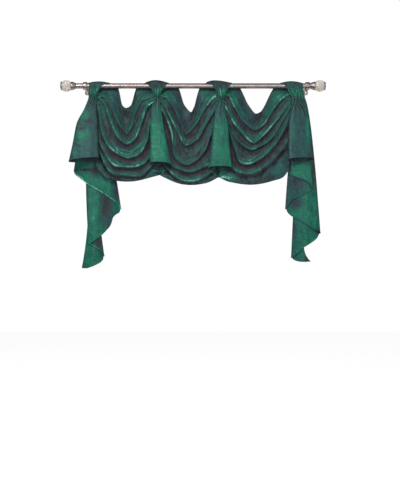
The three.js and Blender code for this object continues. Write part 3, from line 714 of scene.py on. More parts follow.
# painted shade in a tuck
TUCK_PAINTED_SHADE = 0.16
FANS = ((0.36, 0.3), (0.7, 0.2))  # lesser lines between two folds: how far down, and how long from each end
FAN_WIDTH = 3.6
FAN_HEIGHT = 2.6
# painted highlight on the fan lines
FAN_GLOW = 0.42
SHIRR_SPACING = 15
SHIRR_RIPPLE = (6, 60)
SHIRR_REACH = 0.09  # share of the width
SHIRR_HEIGHTS = (1.5, 3.4)  # high up and low down
SHIRR_GROWS = (330, 420)  # from and to how far below the rod
STREAK_LENGTH = 26
STREAK_STRETCH = 5
STREAK_HEIGHT = 1.1
# painted light on the streaks' crests
STREAK_PAINTED_LIGHT = 0.04
PUCKERS = 15  # around the gathers
PUCKER_DROP = 4
PUCKER_REACH = 46
PUCKER_START = (6, 20)
PUCKER_HEIGHT = 2.8
PUCKER_RIPPLE = (1.2, 30)
# painted light on the puckers' crests and painted plum shade in their hollows
PUCKER_PAINTED_LIGHT = 0.14
PUCKER_PAINTED_SHADE = 0.4
# painted light on cloth that faces up, and painted plum shade on cloth that faces down
UP_LIGHT = 0.14
UNDERSIDE_PAINTED_SHADE = 0.4
LAP_STEPS = np.linspace(0, 1, 6)[1:]
# painted shade on the sides turned back
LAP_PAINTED_SHADE_TONE = 0.2
LAP_PAINTED_SHADE_PLUM = 0.3


def add_folds(x, z, down, folds, seed, depth, tone, shade):
    """A ridge along each fold, with a tuck below it and a lesser, broken crease above it. A highlight is
    painted along the ridge and the crease, and shade is painted into the tuck.
    """
    ridge_painted_highlight = np.zeros(x.shape)
    for number, (points, pointed, _, widths, greens, tuck_painted_shades) in enumerate(folds[:-1]):
        gap, share = near_line(x, z, line_across(points, pointed, LINE_STEPS))
        next_gap, _ = near_line(x, z, line_across(*folds[number + 1][:2], LINE_STEPS))
        way = share * FOLD_LENGTH
        below = down[:, None] > (number + 2) / (len(folds) + 1)
        fade = mix(FOLD_ENDS, 1, smooth(np.minimum(share, 1 - share), 0, FOLD_END_SHARE))
        wander = ripples(way, 0, RIDGE_WANDER_LENGTH, seed + 7 * number)
        width = along(share, widths) * (1 + RIDGE_WANDER * wander)
        green = along(share, greens) * (1 + waves(way, 0, GREEN_RIPPLE, seed + 5 * number))
        rounded = np.hypot(gap, CREST_ROUND) - CREST_ROUND
        ridge = np.exp(-rounded / np.where(below, RIDGE_FALLS[0] * width, RIDGE_FALLS[1] * width))
        tuck_gap = np.minimum(TUCK_DROP * width, TUCK_DROP_SHARE * (gap + next_gap))
        tuck = bump(gap - tuck_gap, TUCK_REACH * tuck_gap) * below
        depth = depth + fade * mix(*FOLD_LIFTS, green) * (RIDGE_HEIGHT * ridge - TUCK_DEPTH * tuck)
        # Painted highlight: a broad glow over the ridge and a light line along it
        glow = RIDGE_GLOW * bump(gap, np.where(below, *RIDGE_GLOW_REACH) * width)
        faint = mix(RIDGE_LINE_FAINT, 1, smooth(wander, -0.6, 0.6))
        glow = glow + RIDGE_LINE_GLOW * bump(gap, RIDGE_LINE) * faint
        broken = smooth(ripples(way, 0, CREASE_BREAK_LENGTH, seed + 3 * number), -0.4, 0.4)
        crease = bump(gap - CREASE_SPACING * width, RIDGE_LINE) * ~below * broken * fade
        depth = depth + CREASE_HEIGHT * crease
        # Painted highlight on ridge and crease; painted shade and painted plum shade in the tuck
        ridge_painted_highlight = np.maximum(ridge_painted_highlight, green * np.maximum(glow, CREASE_GLOW * crease))
        tone = tone - TUCK_PAINTED_SHADE * tuck * fade
        shade = np.maximum(shade, along(share, tuck_painted_shades) * fade * tuck)
    return depth, tone, shade, ridge_painted_highlight


def add_fans(x, z, fold_lines, depth, ridge_painted_highlight):
    """Fine lines that fan out from both sides between the upper folds, each with a painted highlight."""
    for upper, lower in zip(fold_lines[:3], fold_lines[1:4]):
        for place, length in FANS:
            fan_line = mix(upper, lower, place)
            count = int(length * len(fan_line))
            for line in (fan_line[:count], fan_line[: -count : -1]):
                gap, share = near_line(x, z, line)
                ridge = bump(gap, FAN_WIDTH) * smooth(1 - share, 0, 0.6) * smooth(share, 0, 0.15)
                depth = depth + FAN_HEIGHT * ridge
                ridge_painted_highlight = np.maximum(ridge_painted_highlight, FAN_GLOW * ridge)
    return depth, ridge_painted_highlight


def add_creases(x, z, creases, depth, shade, ridge_painted_highlight):
    """Lesser creases that run out at both ends, each with a painted highlight and less plum on it."""
    for points, width, height, green in creases:
        gap, share = near_line(x, z, line_across(points, 0, LINE_STEPS))
        ridge = bump(gap, width) * np.sqrt(np.sin(np.pi * share))
        depth = depth + height * ridge
        ridge_painted_highlight = np.maximum(ridge_painted_highlight, green * ridge)
        shade = shade * (1 - ridge)
    return depth, shade, ridge_painted_highlight


def add_puckers(x, z, knots, seed, depth, tone, shade):
    """Puckers that spread out from the gathers of the tabs, painted lighter on their crests and with painted
    plum shade in their hollows.
    """
    for knot_x, knot_z in knots:
        away = np.hypot(x - knot_x, z - knot_z)
        turn = np.arctan2(z - knot_z, x - knot_x)
        wave = np.sin(PUCKERS * turn + waves(x, z, PUCKER_RIPPLE, seed))
        pucker = wave * bump(away, PUCKER_REACH) * smooth(away, *PUCKER_START)
        depth = depth + PUCKER_HEIGHT * pucker
        tone = tone + PUCKER_PAINTED_LIGHT * pucker
        shade = shade + PUCKER_PAINTED_SHADE * np.maximum(-pucker, 0)
    return depth, tone, shade


def add_laps(sheet, laps):
    """The sides turned outward and back, painted darker as shade, as columns on both sides of a sheet's x,
    depth, z, tone and plum.
    """
    for share, column, (aside, back) in ((LAP_STEPS[::-1], 0, laps[0]), (LAP_STEPS, -1, laps[1])):
        x, depth, z = (part[:, column][:, None] for part in sheet[:3])
        level = np.zeros((len(z), len(share)))
        lap = (x + share * aside, depth + share**2 * back, z + level, LAP_PAINTED_SHADE_TONE + level, LAP_PAINTED_SHADE_PLUM + level)
        sheet = [np.concatenate([b, a] if column == 0 else [a, b], axis=1) for a, b in zip(sheet, lap)]
    return sheet


def make_swag(name, top, folds, creases, spots, laps, shirring, knots, seed):
    """A swag: a sheet that bulges forward from the notched top to the hem, with its folds laid on it."""
    across = np.linspace(0, 1, SWAG_COLUMNS)
    down = rows_to_hem(SWAG_ROWS, SWAG_LENGTH)
    top_line = line_across(top, NOTCH_POINTED, across)
    fold_lines = [line_across(row[0], row[1], across) for row in folds]
    side = np.minimum(across, 1 - across)
    notch = smooth(side, NOTCH_START, 0.5)
    swell = np.abs(np.sin(np.pi * across)) ** SWELL_POWER
    band_line = mix(top_line, fold_lines[0], (BAND_SHARE * notch)[:, None])
    band_line[:, 1] -= BAND_DROP * (1 - notch)
    behind = mix(BAND_DEPTH, NOTCH_DEPTH, notch)
    lines = [top_line, band_line] + fold_lines
    set_back = RIDGE_HEIGHT * RIDGE_SET_BACK * swell
    x = between([line[:, 0] for line in lines], down)
    z = between([line[:, 1] for line in lines], down)
    depth = between([behind, behind] + [mix(SIDE_DEPTH, row[2], swell) - set_back for row in folds], down)
    # Base tone with soft patches, the darker ones at the sides painted shade beside the jabots
    tone = patches(x, z, SWAG_TONE, spots) + waves(x, z, SWAG_TONE_RIPPLE, seed + 1)
    shade = np.full(x.shape, SWAG_PLUM)
    depth, tone, shade, ridge_painted_highlight = add_folds(x, z, down, folds, seed, depth, tone, shade)
    depth, ridge_painted_highlight = add_fans(x, z, fold_lines, depth, ridge_painted_highlight)
    depth, shade, ridge_painted_highlight = add_creases(x, z, creases, depth, shade, ridge_painted_highlight)
    shirr_z = z + waves(x, z, SHIRR_RIPPLE, seed)
    gathered = mix(*shirring, np.round(across))
    shirr = gathered * np.sin(2 * np.pi * shirr_z / SHIRR_SPACING) * bump(side, SHIRR_REACH)
    shirr_height = mix(*SHIRR_HEIGHTS, smooth(-z, *SHIRR_GROWS))
    depth = depth + shirr_height * shirr * smooth(down, 0.12, 0.2)[:, None]
    depth = depth + swell * waves(x, z, SWAG_RIPPLE, seed)
    fall = np.cumsum(np.hypot(np.gradient(x, axis=0), np.gradient(z, axis=0)), axis=0)
    aside = np.broadcast_to(across * FOLD_LENGTH / STREAK_STRETCH, x.shape)
    streak = ripples(aside, fall, STREAK_LENGTH, seed + 3)
    depth = depth + STREAK_HEIGHT * streak * smooth(down, 0.12, 0.25)[:, None]
    # painted light on the streaks' crests
    tone = tone + STREAK_PAINTED_LIGHT * streak
    depth, tone, shade = add_puckers(x, z, knots, seed, depth, tone, shade)
    # Painted light where the cloth faces up, painted shade along the top under the rod, painted plum shade on
    # undersides
    up = up_facing(x, depth, z)
    tone = tone + ridge_painted_highlight + UP_LIGHT * up - BAND_PAINTED_SHADE * (1 - smooth(down, 0.08, 0.2))[:, None]
    shade = np.clip(shade + UNDERSIDE_PAINTED_SHADE * smooth(-up, 0.2, 0.8), 0, 1)
    x, depth, z, tone, shade = add_laps((x, depth, z, tone, shade), laps)
    piece = make_cloth(name, at(x, depth, z), np.minimum(tone, SWAG_GREENEST), shade, weft=SWAG_WEFT)


# Jabots: how much lower the hem is at its left, sections by height, edges, and back and front; then how
# green the bell is, with soft patches of green and of plum. The darker green patches and the plum ones
# are painted shade.
JABOTS = [
    ("jabot_left", 16,
     [(-110, (-520, -461), (9, 27)), (-178, (-556, -457), (15, 34)),
      (-262, (-573, -453), (22, 45)), (-342, (-591, -448), (30, 58))],
     (0.34,
      [(-523, -144, 20, 28, 0.42), (-532, -243, 30, 20, 0.44), (-509, -173, 24, 12, -0.22),
       (-535, -208, 18, 9, -0.22), (-500, -222, 18, 14, 0.16), (-566, -310, 20, 30, 0.1)],
      [(-472, -220, 17, 120, 0.32), (-507, -174, 26, 13, 0.35), (-535, -208, 18, 9, 0.3)])),
    ("jabot_mid_1", -6,
     [(-115, (-200, -152), (11, 28)), (-190, (-203, -141), (18, 36)),
      (-280, (-204, -122), (25, 47)), (-372, (-205, -104), (32, 60))],
     (0.7,
      [(-172, -146, 30, 30, -0.26), (-118, -300, 14, 80, -0.22), (-166, -300, 26, 46, 0.12),
       (-190, -230, 12, 24, 0.1), (-140, -220, 14, 26, -0.12)], [])),
    ("jabot_mid_2", 2,
     [(-115, (106, 153), (11, 28)), (-190, (98, 167), (18, 36)),
      (-290, (86, 174), (25, 47)), (-388, (71, 185), (32, 60))],
     (0.62,
      [(128, -130, 30, 36, -0.28), (165, -330, 14, 40, 0.16), (116, -308, 18, 26, 0.16),
       (134, -216, 12, 20, 0.16), (146, -262, 12, 18, -0.2), (88, -345, 12, 40, -0.22)], [])),
    ("jabot_right", 4,
     [(-115, (467, 547), (9, 27)), (-190, (457, 557), (15, 34)),
      (-270, (454, 566), (22, 45)), (-346, (453, 575), (30, 58))],
     (0.3, [(547, -210, 10, 75, 0.5), (568, -250, 8, 100, -0.2), (480, -200, 12, 60, 0.1)], [])),
]
JABOT_COLUMNS = 113
JABOT_ROWS = 96
JABOT_LENGTH = 330
JABOT_TUCK = 3  # how far a jabot's gathers start inside the tab's
JABOT_PINCH = 1  # how much narrower than the tab's they are on each side
JABOT_FRONT_PINCH = 1.5  # how far behind the tab's they are in front
JABOT_PLEAT_DROP = 56  # over which the pleats run out
JABOT_PLEAT_POWER = 1.5
# painted light on the pleats' crests and painted plum shade in their valleys
JABOT_PLEAT_PAINTED_LIGHT = 0.25
JABOT_PLEAT_PAINTED_SHADE = 0.8
JABOT_RIPPLE = (0.9, 48)
JABOT_RIPPLE_STRETCH = 0.35
JABOT_GREENEST = 0.72
JABOT_PLUM = 0.06
BELL_WRAP = math.radians(150)
BELL_FLAT = 0.62  # below 1 the front of the bell is flatter than round
BELL_SQUARE = 0.8  # below 1 its sides are squarer than round
BELL_BACK_DROP = 16
# painted shade on the back of the bell
BELL_BACK_PAINTED_SHADE = 0.12
BELL_BACK_PAINTED_SHADE_PLUM = 0.9
FAN_DROP = 62  # how far the painted shade of the fan reaches below the knot
# painted shade and painted plum shade in the fan below the knot
FAN_PAINTED_SHADE = 0.9
FAN_PAINTED_SHADE_PLUM = 0.35
# painted highlight on the strands
STRAND_PAINTED_HIGHLIGHT = 0.6
STRAND_POWER = 8  # high, so that only the crests of the pleats are painted light strands


def make_jabot(name, hem_slope, sections, tones, tab, seed):
    """A jabot: a bell that opens from the gathers to the hem, closed towards its back."""
    knot, knot_z, gathers = tab[4], tab[5], tab[9]
    base, green_and_painted_shade_spots, plum_painted_shade_spots = tones
    start = knot_z + JABOT_TUCK
    knot_reach = (KNOT_DEPTH - KNOT_BULGE - FIT, KNOT_DEPTH + KNOT_BULGE - JABOT_FRONT_PINCH)
    pinch = (1 - KNOT_PINCH) / 2 * (knot[1] - knot[0]) + JABOT_PINCH
    pinched = (knot[0] + pinch, knot[1] - pinch)
    stations = [(start, *pinched, *knot_reach), (start - KNOT_HEIGHT, *pinched, *knot_reach)]
    stations += [(z, *edges, *reach) for z, edges, reach in sections]
    across = np.linspace(0, 1, JABOT_COLUMNS)
    down = rows_to_hem(JABOT_ROWS, JABOT_LENGTH)
    height, left, right, back, front = (c[:, None] for c in between(stations, down).T)
    steps = len(stations) - 1
    open_share = np.maximum(0, (down * steps - 1) / (steps - 1))[:, None]
    drawn, kept = drawn_in(across, *gathers)
    opened = mix(drawn, across, smooth(open_share, 0, 0.35))
    angle = (opened * 2 - 1) * mix(KNOT_WRAP, BELL_WRAP, open_share)
    spread = np.sign(np.sin(angle)) * np.abs(np.sin(angle)) ** mix(1, BELL_SQUARE, open_share)
    bulge = np.sign(np.cos(angle)) * np.abs(np.cos(angle)) ** mix(1, BELL_FLAT, open_share)
    x = mix(left, right, 0.5 + spread / 2)
    fall = hem_slope * (np.sin(angle) / 2 - 0.5) - BELL_BACK_DROP * (1 - np.cos(angle)) / 2
    z = height + fall * open_share**2
    drop = start - height
    crests = pleats(across, KNOT_PLEATS, seed)
    crimp = crests * np.exp(-((drop / JABOT_PLEAT_DROP) ** JABOT_PLEAT_POWER))
    pleat = KNOT_PLEAT_DEPTH * crimp * mix(kept, 1, smooth(open_share, 0, 0.2))
    faces_front = smooth(np.cos(angle), -0.2, 0.5)
    ripple = waves(x, JABOT_RIPPLE_STRETCH * z, JABOT_RIPPLE, seed)
    depth = mix(back, front, 0.5 + bulge / 2) + pleat + faces_front * open_share * ripple
    # Painted shade in a fan below the knot, with light strands painted on the pleats' crests; lower down,
    # painted light on the crests and painted plum shade in the valleys; the bell's back painted dark as shade
    fan = bump(drop, FAN_DROP) * bump(opened - gathers[0], KNOT_SHADOW)
    strand = np.maximum(crests, 0) ** STRAND_POWER
    tone = patches(x, z, base, green_and_painted_shade_spots) * (1 - FAN_PAINTED_SHADE * fan)
    tone = tone + JABOT_PLEAT_PAINTED_LIGHT * (1 - fan) * crimp + STRAND_PAINTED_HIGHLIGHT * fan * strand
    tone = mix(BELL_BACK_PAINTED_SHADE, np.minimum(tone, JABOT_GREENEST), faces_front)
    shade = patches(x, z, JABOT_PLUM, plum_painted_shade_spots) + JABOT_PLEAT_PAINTED_SHADE * smooth(-crimp, 0.1, 0.8)
    shade = shade + FAN_PAINTED_SHADE_PLUM * fan * (1 - strand)
    shade = np.clip(mix(BELL_BACK_PAINTED_SHADE_PLUM, shade, faces_front), 0, 1)
    piece = make_cloth(name, at(x, depth, z), tone, shade)


# Tails: top height, top depth, hem depth and the crest of the flutes; each pleat edge from front to back by
# its x at the top, how late it flares and how far it bows; then each layer by the points of its hem, how
# green it is, how much lighter its hem is as a painted highlight (darker as painted shade below 0), and soft
# patches of green and of plum, the darker ones painted shade under the jabots, under the layers above and at
# the folds' edges
TAILS = [
    ("tail_left", -46, 17.2, -14, -500,
     [(-498, 1.1, -12), (-484, 0.6, 0), (-498, 1, -15), (-484, 2, 0), (-497, 4, 0)],
     [([(-575.7, -409), (-569, -423), (-545, -442.5), (-519, -461), (-497, -479), (-466.6, -495),
        (-423, -521), (-388, -545), (-366, -560), (-351, -578), (-346.6, -592)], 0.64, 0.34,
       [(-500, -354, 60, 12, -0.6), (-516, -402, 38, 7, -0.7), (-470, -406, 24, 24, -0.6),
        (-370, -500, 17, 70, -0.5), (-566, -405, 9, 18, -0.3)],
       [(-495, -352, 55, 16, 1), (-510, -402, 40, 6, 0.5), (-472, -405, 22, 22, 0.7),
        (-366, -500, 14, 60, 0.5)]),
      ([(-346.6, -592), (-351, -606), (-366, -615), (-383.7, -630), (-390.2, -652), (-401, -674),
        (-423, -698), (-447, -720), (-478, -741), (-503.7, -759)], 0.62, 0.05,
       [(-512, -560, 9, 130, -0.35), (-472, -590, 22, 150, 0.06), (-418, -575, 30, 85, -0.5),
        (-366, -604, 18, 26, -0.2), (-412, -675, 14, 30, -0.2)],
       [(-420, -575, 28, 80, 0.75)]),
      ([(-503.7, -759), (-471, -776.5), (-449, -787), (-437, -797), (-430, -819)], 0.3, 0.5,
       [(-452, -750, 26, 30, -0.12)], [(-455, -745, 34, 34, 0.6)]),
      ([(-430, -819), (-432, -833), (-442, -845), (-460, -856), (-486, -868), (-515, -876),
        (-539, -875)], 0.6, 0,
       [(-440, -805, 14, 26, -0.28), (-530, -820, 8, 60, -0.15)], [])]),
    ("tail_right", -58, 17.8, 0, 540,
     [(508, 0.8, 0), (530, 0.6, 0), (508, 0.7, -4), (533, 0.6, 0), (509, 0.9, 0), (531, 26, 0)],
     [([(458.6, -421), (492.6, -439), (532.6, -455), (560.6, -468), (571.5, -486)], 0.68, -0.3,
       [(510, -356, 60, 12, -0.5), (470, -385, 8, 30, -0.3), (550, -410, 14, 40, -0.1)],
       [(505, -354, 50, 14, 0.8)]),
      ([(571.5, -486), (566, -504), (524.6, -524), (474.6, -547), (456.6, -567), (444, -590)], 0.28, 0.15,
       [(552, -486, 16, 20, 0.2), (480, -525, 24, 16, 0.08), (480, -450, 26, 22, -0.1)],
       [(480, -460, 40, 30, 0.3)]),
      ([(444, -590), (452.6, -608), (478.6, -629), (524.6, -655), (564.6, -679), (600.6, -700),
        (614, -708)], 0.62, -0.3,
       [(545, -600, 24, 95, 0.08), (500, -560, 34, 26, -0.5), (462, -560, 9, 30, -0.3),
        (580, -410, 13, 80, -0.5), (604, -600, 8, 90, -0.3), (607, -700, 14, 16, -0.4)],
       [(582, -400, 14, 80, 0.6), (500, -558, 32, 22, 0.4)]),
      ([(614, -708), (600.6, -731), (568.6, -755), (534.6, -775), (504.6, -800), (473.5, -826)], 0.6, 0,
       [(487, -690, 12, 70, -0.4), (609, -706, 11, 14, -0.4), (484, -800, 10, 30, -0.2)],
       [(486, -680, 12, 50, 0.3)]),
      ([(473.5, -826), (484.6, -836), (508.6, -843.6), (540.6, -845), (569, -843)], 0.48, -0.1,
       [(548, -822, 16, 20, -0.3)], [])]),
]
TAIL_COLUMNS = 41  # for each layer
TAIL_TURN_STEPS = 10
TAIL_ROWS = 90
TAIL_LENGTH = 560
TAIL_TOP_STEP = 3.2  # from layer to layer
TAIL_HEM_STEP = 9
TAIL_SETTLE = 4  # how soon a tail falls back from its top's depth to its hem's
TAIL_FLUTE = 2  # how soon its flutes are full
TAIL_WAVE_DEPTH = 9
TAIL_WAVE_LENGTH = 190
TAIL_RIPPLE = (2.0, 60)
TAIL_RIPPLE_STRETCH = 0.3
TAIL_TONE_RIPPLE = (0.06, 80)
TAIL_GREENEST = 0.76
TAIL_HEM_LIGHT = 0.14  # how much paler than that a hem's painted highlight may be
TAIL_HEM_FADE = 0.6  # share of the hem's width above which its tone fades


def make_tail(name, top_z, top_depth, hem_depth, crest_x, edges, layers, tab, seed):
    """A tail: flat pleats laid back and forth between its edges, with a round turn at each fold."""
    count = len(layers)
    spots = []
    for k in range(count):
        spots += [(k, share, 0) for share in np.linspace(0, 1, TAIL_COLUMNS)]
        if k < count - 1:
            spots += [(k, 1, turn) for turn in np.linspace(0, 1, TAIL_TURN_STEPS)[1:-1]]
    layer, share, turn = np.array(spots).T
    layer = layer.astype(int)
    hem = np.concatenate([line_across(row[0], 0, share[layer == k]) for k, row in enumerate(layers)])
    hem_x, hem_z = hem.T
    end_x = np.array([row[0][0][0] for row in layers] + [layers[-1][0][-1][0]], float)
    top_x, flare, bow = np.array(edges, float).T
    down = rows_to_hem(TAIL_ROWS, TAIL_LENGTH)[:, None]
    edge_x = mix(top_x, end_x, down**flare) + bow * np.sin(np.pi * down)
    run = (hem_x - end_x[layer]) / (end_x[layer + 1] - end_x[layer])
    step = mix(TAIL_TOP_STEP, TAIL_HEM_STEP, down)
    way = np.sign(end_x[layer + 1] - end_x[layer])
    first = mix(top_depth, hem_depth, 1 - (1 - down) ** TAIL_SETTLE)
    depth = first - step * (layer + (1 - np.cos(np.pi * turn)) / 2)
    inset = way * step / 2
    start_x = edge_x[:, layer] + np.where(layer == 0, 0, inset)
    stop_x = edge_x[:, layer + 1] - np.where(layer == count - 1, 0, inset)
    x = mix(start_x, stop_x, run) + inset * np.sin(np.pi * turn)
    z = mix(top_z, hem_z, down)
    flute = TAIL_WAVE_DEPTH * np.cos(2 * np.pi * (x - crest_x) / TAIL_WAVE_LENGTH)
    flute = flute + waves(x, TAIL_RIPPLE_STRETCH * z, TAIL_RIPPLE, seed)
    depth = depth + flute * (1 - (1 - down) ** TAIL_FLUTE)
    tone = waves(x, z, TAIL_TONE_RIPPLE, seed + 1)
    shade = np.zeros(x.shape)
    near_hem = 1 - smooth(z - hem_z, HEM_WIDTH * TAIL_HEM_FADE, HEM_WIDTH)
    # Each layer's green, its hem painted lighter as highlight (darker as shade where below 0), its darker
    # patches painted shade and its plum patches painted plum shade; no plum along a lit hem
    for k, (_, green, hem_painted_light_and_shade, green_and_painted_shade_spots, plum_painted_shade_spots) in enumerate(layers):
        here = layer == k
        tone = tone + here * (patches(x, z, green, green_and_painted_shade_spots) + hem_painted_light_and_shade * near_hem)
        shade = shade + here * patches(x, z, 0, plum_painted_shade_spots) * (1 - near_hem * (hem_painted_light_and_shade > 0))
    tone = np.minimum(tone, TAIL_GREENEST + TAIL_HEM_LIGHT * near_hem)
    piece = make_cloth(name, at(x, depth, z), tone, np.clip(shade, 0, 1))


for number, tab in enumerate(TABS):
    make_tab(*tab, seed=TAB_SEED + number)
for number, swag in enumerate(SWAGS):
    knots = [(sum(tab[4]) / 2, tab[5] - PUCKER_DROP) for tab in TABS[number : number + 2]]
    make_swag(*swag, knots=knots, seed=SWAG_SEED + number)
for number, (jabot, tab) in enumerate(zip(JABOTS, TABS)):
    make_jabot(*jabot, tab=tab, seed=TAB_SEED + number)
for number, (tail, tab) in enumerate(zip(TAILS, (TABS[0], TABS[-1]))):
    make_tail(*tail, tab=tab[0], seed=TAIL_SEED + number)


# Hem stitches

STITCH_SPACING = 7
STITCH_LENGTH = 3.2
STITCH_PULL = (0.85, 1.15)  # shortest and longest, by that length
STITCH_SEED = 5
THREAD_THICKNESS = 0.7


def stitch_tree():
    """Short stitches laid end to end along lines, each a thin rounded length of thread."""
    tree = bpy.data.node_groups.new("hem_stitching", "GeometryNodeTree")
    face = tree.interface
    face.new_socket("Lines", in_out="INPUT", socket_type="NodeSocketGeometry")
    sizes = {"Spacing": STITCH_SPACING * MM, "Length": STITCH_LENGTH * MM, "Thickness": THREAD_THICKNESS * MM}
    for label in sizes:
        face.new_socket(label, in_out="INPUT", socket_type="NodeSocketFloat")
    face.new_socket("Seed", in_out="INPUT", socket_type="NodeSocketInt")
    face.new_socket("Stitches", in_out="OUTPUT", socket_type="NodeSocketGeometry")
    given = add(tree, "NodeGroupInput")
    curve = add(tree, "GeometryNodeMeshToCurve", links={"Mesh": given.outputs["Lines"]})
    places = add(tree, "GeometryNodeCurveToPoints", {"mode": "LENGTH"},
                 links={"Curve": curve.outputs["Curve"], "Length": given.outputs["Spacing"]})
    turn = add(tree, "FunctionNodeAlignRotationToVector", {"axis": "X"},
               links={"Vector": places.outputs["Tangent"]})
    bead = add(tree, "GeometryNodeMeshUVSphere", values={"Segments": 6, "Rings": 4, "Radius": 0.5})
    pull = add(tree, "FunctionNodeRandomValue", {"data_type": "FLOAT"}, dict(enumerate(STITCH_PULL, 2)),
               {"Seed": given.outputs["Seed"]})
    length = add(tree, "ShaderNodeMath", {"operation": "MULTIPLY"},
                 links={0: given.outputs["Length"], 1: pull.outputs[1]})
    size = add(tree, "ShaderNodeCombineXYZ",
               links={0: length.outputs[0], 1: given.outputs["Thickness"], 2: given.outputs["Thickness"]})
    laid = add(tree, "GeometryNodeInstanceOnPoints",
               links={"Points": places.outputs["Points"], "Instance": bead.outputs["Mesh"],
                      "Rotation": turn.outputs["Rotation"], "Scale": size.outputs[0]})
    real = add(tree, "GeometryNodeRealizeInstances", links={"Geometry": laid.outputs[0]})
    dressed = add(tree, "GeometryNodeSetMaterial", values={"Material": THREAD},
                  links={"Geometry": real.outputs[0]})
    add(tree, "NodeGroupOutput", links={"Stitches": dressed.outputs[0]})
    return tree, dict(sizes, Seed=STITCH_SEED)


def make_stitches(lines):
    """The hem stitches of the whole curtain as one mesh."""
    points = np.concatenate(lines)
    edges, start = [], 0
    for line in lines:
        edges += [(start + i, start + i + 1) for i in range(len(line) - 1)]
        start += len(line)
    mesh = bpy.data.meshes.new("hem_lines")
    mesh.from_pydata(points.tolist(), edges, [])
    path = link_object("hem_lines", mesh)
    tree, inputs = stitch_tree()
    modifier = path.modifiers.new("stitches", "NODES")
    modifier.node_group = tree
    for socket in tree.interface.items_tree:
        if socket.in_out == "INPUT" and socket.name in inputs:
            modifier[socket.identifier] = inputs[socket.name]
    ready = path.evaluated_get(bpy.context.evaluated_depsgraph_get())
    stitches = bpy.data.meshes.new_from_object(ready)
    bpy.data.objects.remove(path)
    stitches.shade_smooth()
    piece = link_object("hem_stitches", stitches)
    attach(piece, "root")


make_stitches(hem_lines)


# Hardware: profiles run outward along the rod from the seat, as (distance, radius)

ROUND_SIDES = 96
SHARP_ANGLE = math.radians(40)
MERGE_GAP = 1e-6  # in metres
COLLAR_PROFILE = [
    (0, 0), (0, 13.2), (0.8, 14), (2.2, 14.3), (3, 14.7), (5, 15.6), (7.5, 16.7), (10, 17.7), (13, 18.6),
    (16, 19.4), (19, 19.9), (21, 20.1), (22.8, 20.2), (23.6, 19.9), (24, 19.2), (24, 0),
]
CAP_PROFILE = [
    (0, 0), (0, 19.2), (0.4, 20), (1, 20.5), (2, 20.6), (3.4, 20.6), (4.4, 20.3), (5.6, 19.4), (6.3, 18.6),
    (6.5, 17.8), (6.3, 16.8), (5.9, 14), (5.6, 8), (5.5, 0),
]
KNOB_LENGTH = 42
KNOB_RADIUS = 27.2
KNOB_FULLEST = 20.5  # where along the knob it is fullest
KNOB_NARROWS = (0.0183, 0.013)  # how fast it narrows toward its seat and toward its end
KNOB_RIM = 0.9
KNOB_RIM_ROUND = 0.6
KNOB_STEPS = 64
KNOB_SIDES = 240
FLUTES = 20
FLUTE_DEPTH = 1.3
ROD_EASE = 0.5
RING_RADIUS = 18.5
RING_HALF_WIDTH = 10
RING_EDGE = 0.4  # easing of its bore's edges, and the middle of its rounding
RING_ROUND = 1.4  # rounding of its outer edges
ARM_RADIUS = 6
ARM_OVERLAP = 1  # into the ring
ARM_END = -5.5  # within the plate
ARM_FLARE = [(0, 0), (0, 1), (0.6, 1), (0.8, 1.06), (0.9, 1.2), (0.96, 1.4), (1, 1.62), (1, 0)]
PLATE_HALF_WIDTH = 9
PLATE_HEIGHTS = (-34, 18)
PLATE_CORNER = 8.5
PLATE_EDGE = [(0, 0), (0, 4.5), (0.45, 5.55), (1.5, 6)]  # inset of its edge, and distance from the wall


def knob_profile():
    """A barrel that narrows more toward its seat than toward its end, with rounded rims."""
    places = np.linspace(0, KNOB_LENGTH, KNOB_STEPS)
    off = places - KNOB_FULLEST
    rim = np.minimum(places, KNOB_LENGTH - places)
    radius = KNOB_RADIUS - np.where(off < 0, *KNOB_NARROWS) * off**2
    radius = radius - KNOB_RIM * np.exp(-rim / KNOB_RIM_ROUND)
    return [(0, 0), *zip(places, radius), (KNOB_LENGTH, 0)]


def ring_profile():
    """A ring with a bore that clears the rod, and eased edges."""
    inner, outer, wide = ROD_RADIUS + FIT, RING_RADIUS, RING_HALF_WIDTH
    half = [(wide - RING_ROUND, outer), (wide - RING_EDGE, outer - RING_EDGE), (wide, outer - RING_ROUND),
            (wide, inner + RING_EDGE), (wide - RING_EDGE, inner)]
    mirrored = [(-distance, radius) for distance, radius in half[::-1]]
    loop = mirrored + half
    return loop[1:] + loop[:2]


def ringed(rings):
    """Points in metres and faces of closed rings, each joined to the next."""
    quads, index = grid_faces(*rings.shape[:2])
    close = np.stack([index[:-1, -1], index[1:, -1], index[1:, 0], index[:-1, 0]], axis=-1)
    return rings.reshape(-1, 3) * MM, np.concatenate([quads, close])


def turned(profile, seat_x, outward, flutes=0, sides=ROUND_SIDES):
    """A profile turned about the rod's axis, with flutes that fade out at both ends."""
    distance, radius = np.array(profile, float).T[:, :, None]
    turn = np.linspace(0, 2 * np.pi, sides, endpoint=False)
    middle = np.sin(np.pi * distance / distance.max())
    radius = radius - flutes * middle * (radius > 0) * np.cos(FLUTES / 2 * turn) ** 2
    x = seat_x + outward * distance
    places = np.broadcast_arrays(x, radius * np.cos(turn) - ROD_STANDOFF, radius * np.sin(turn))
    return ringed(np.stack(places, axis=-1))


def bracket_arm(middle_x):
    """An arm from the ring to the plate that flares where it meets the plate."""
    turn = np.linspace(0, 2 * np.pi, ROUND_SIDES, endpoint=False)
    start = -ROD_STANDOFF + RING_RADIUS - ARM_OVERLAP
    rings = []
    for share, size in ARM_FLARE:
        y = np.full(turn.shape, mix(start, ARM_END, share))
        radius = ARM_RADIUS * size
        rings.append(np.stack([middle_x + radius * np.cos(turn), y, radius * np.sin(turn)], axis=-1))
    return ringed(np.array(rings))


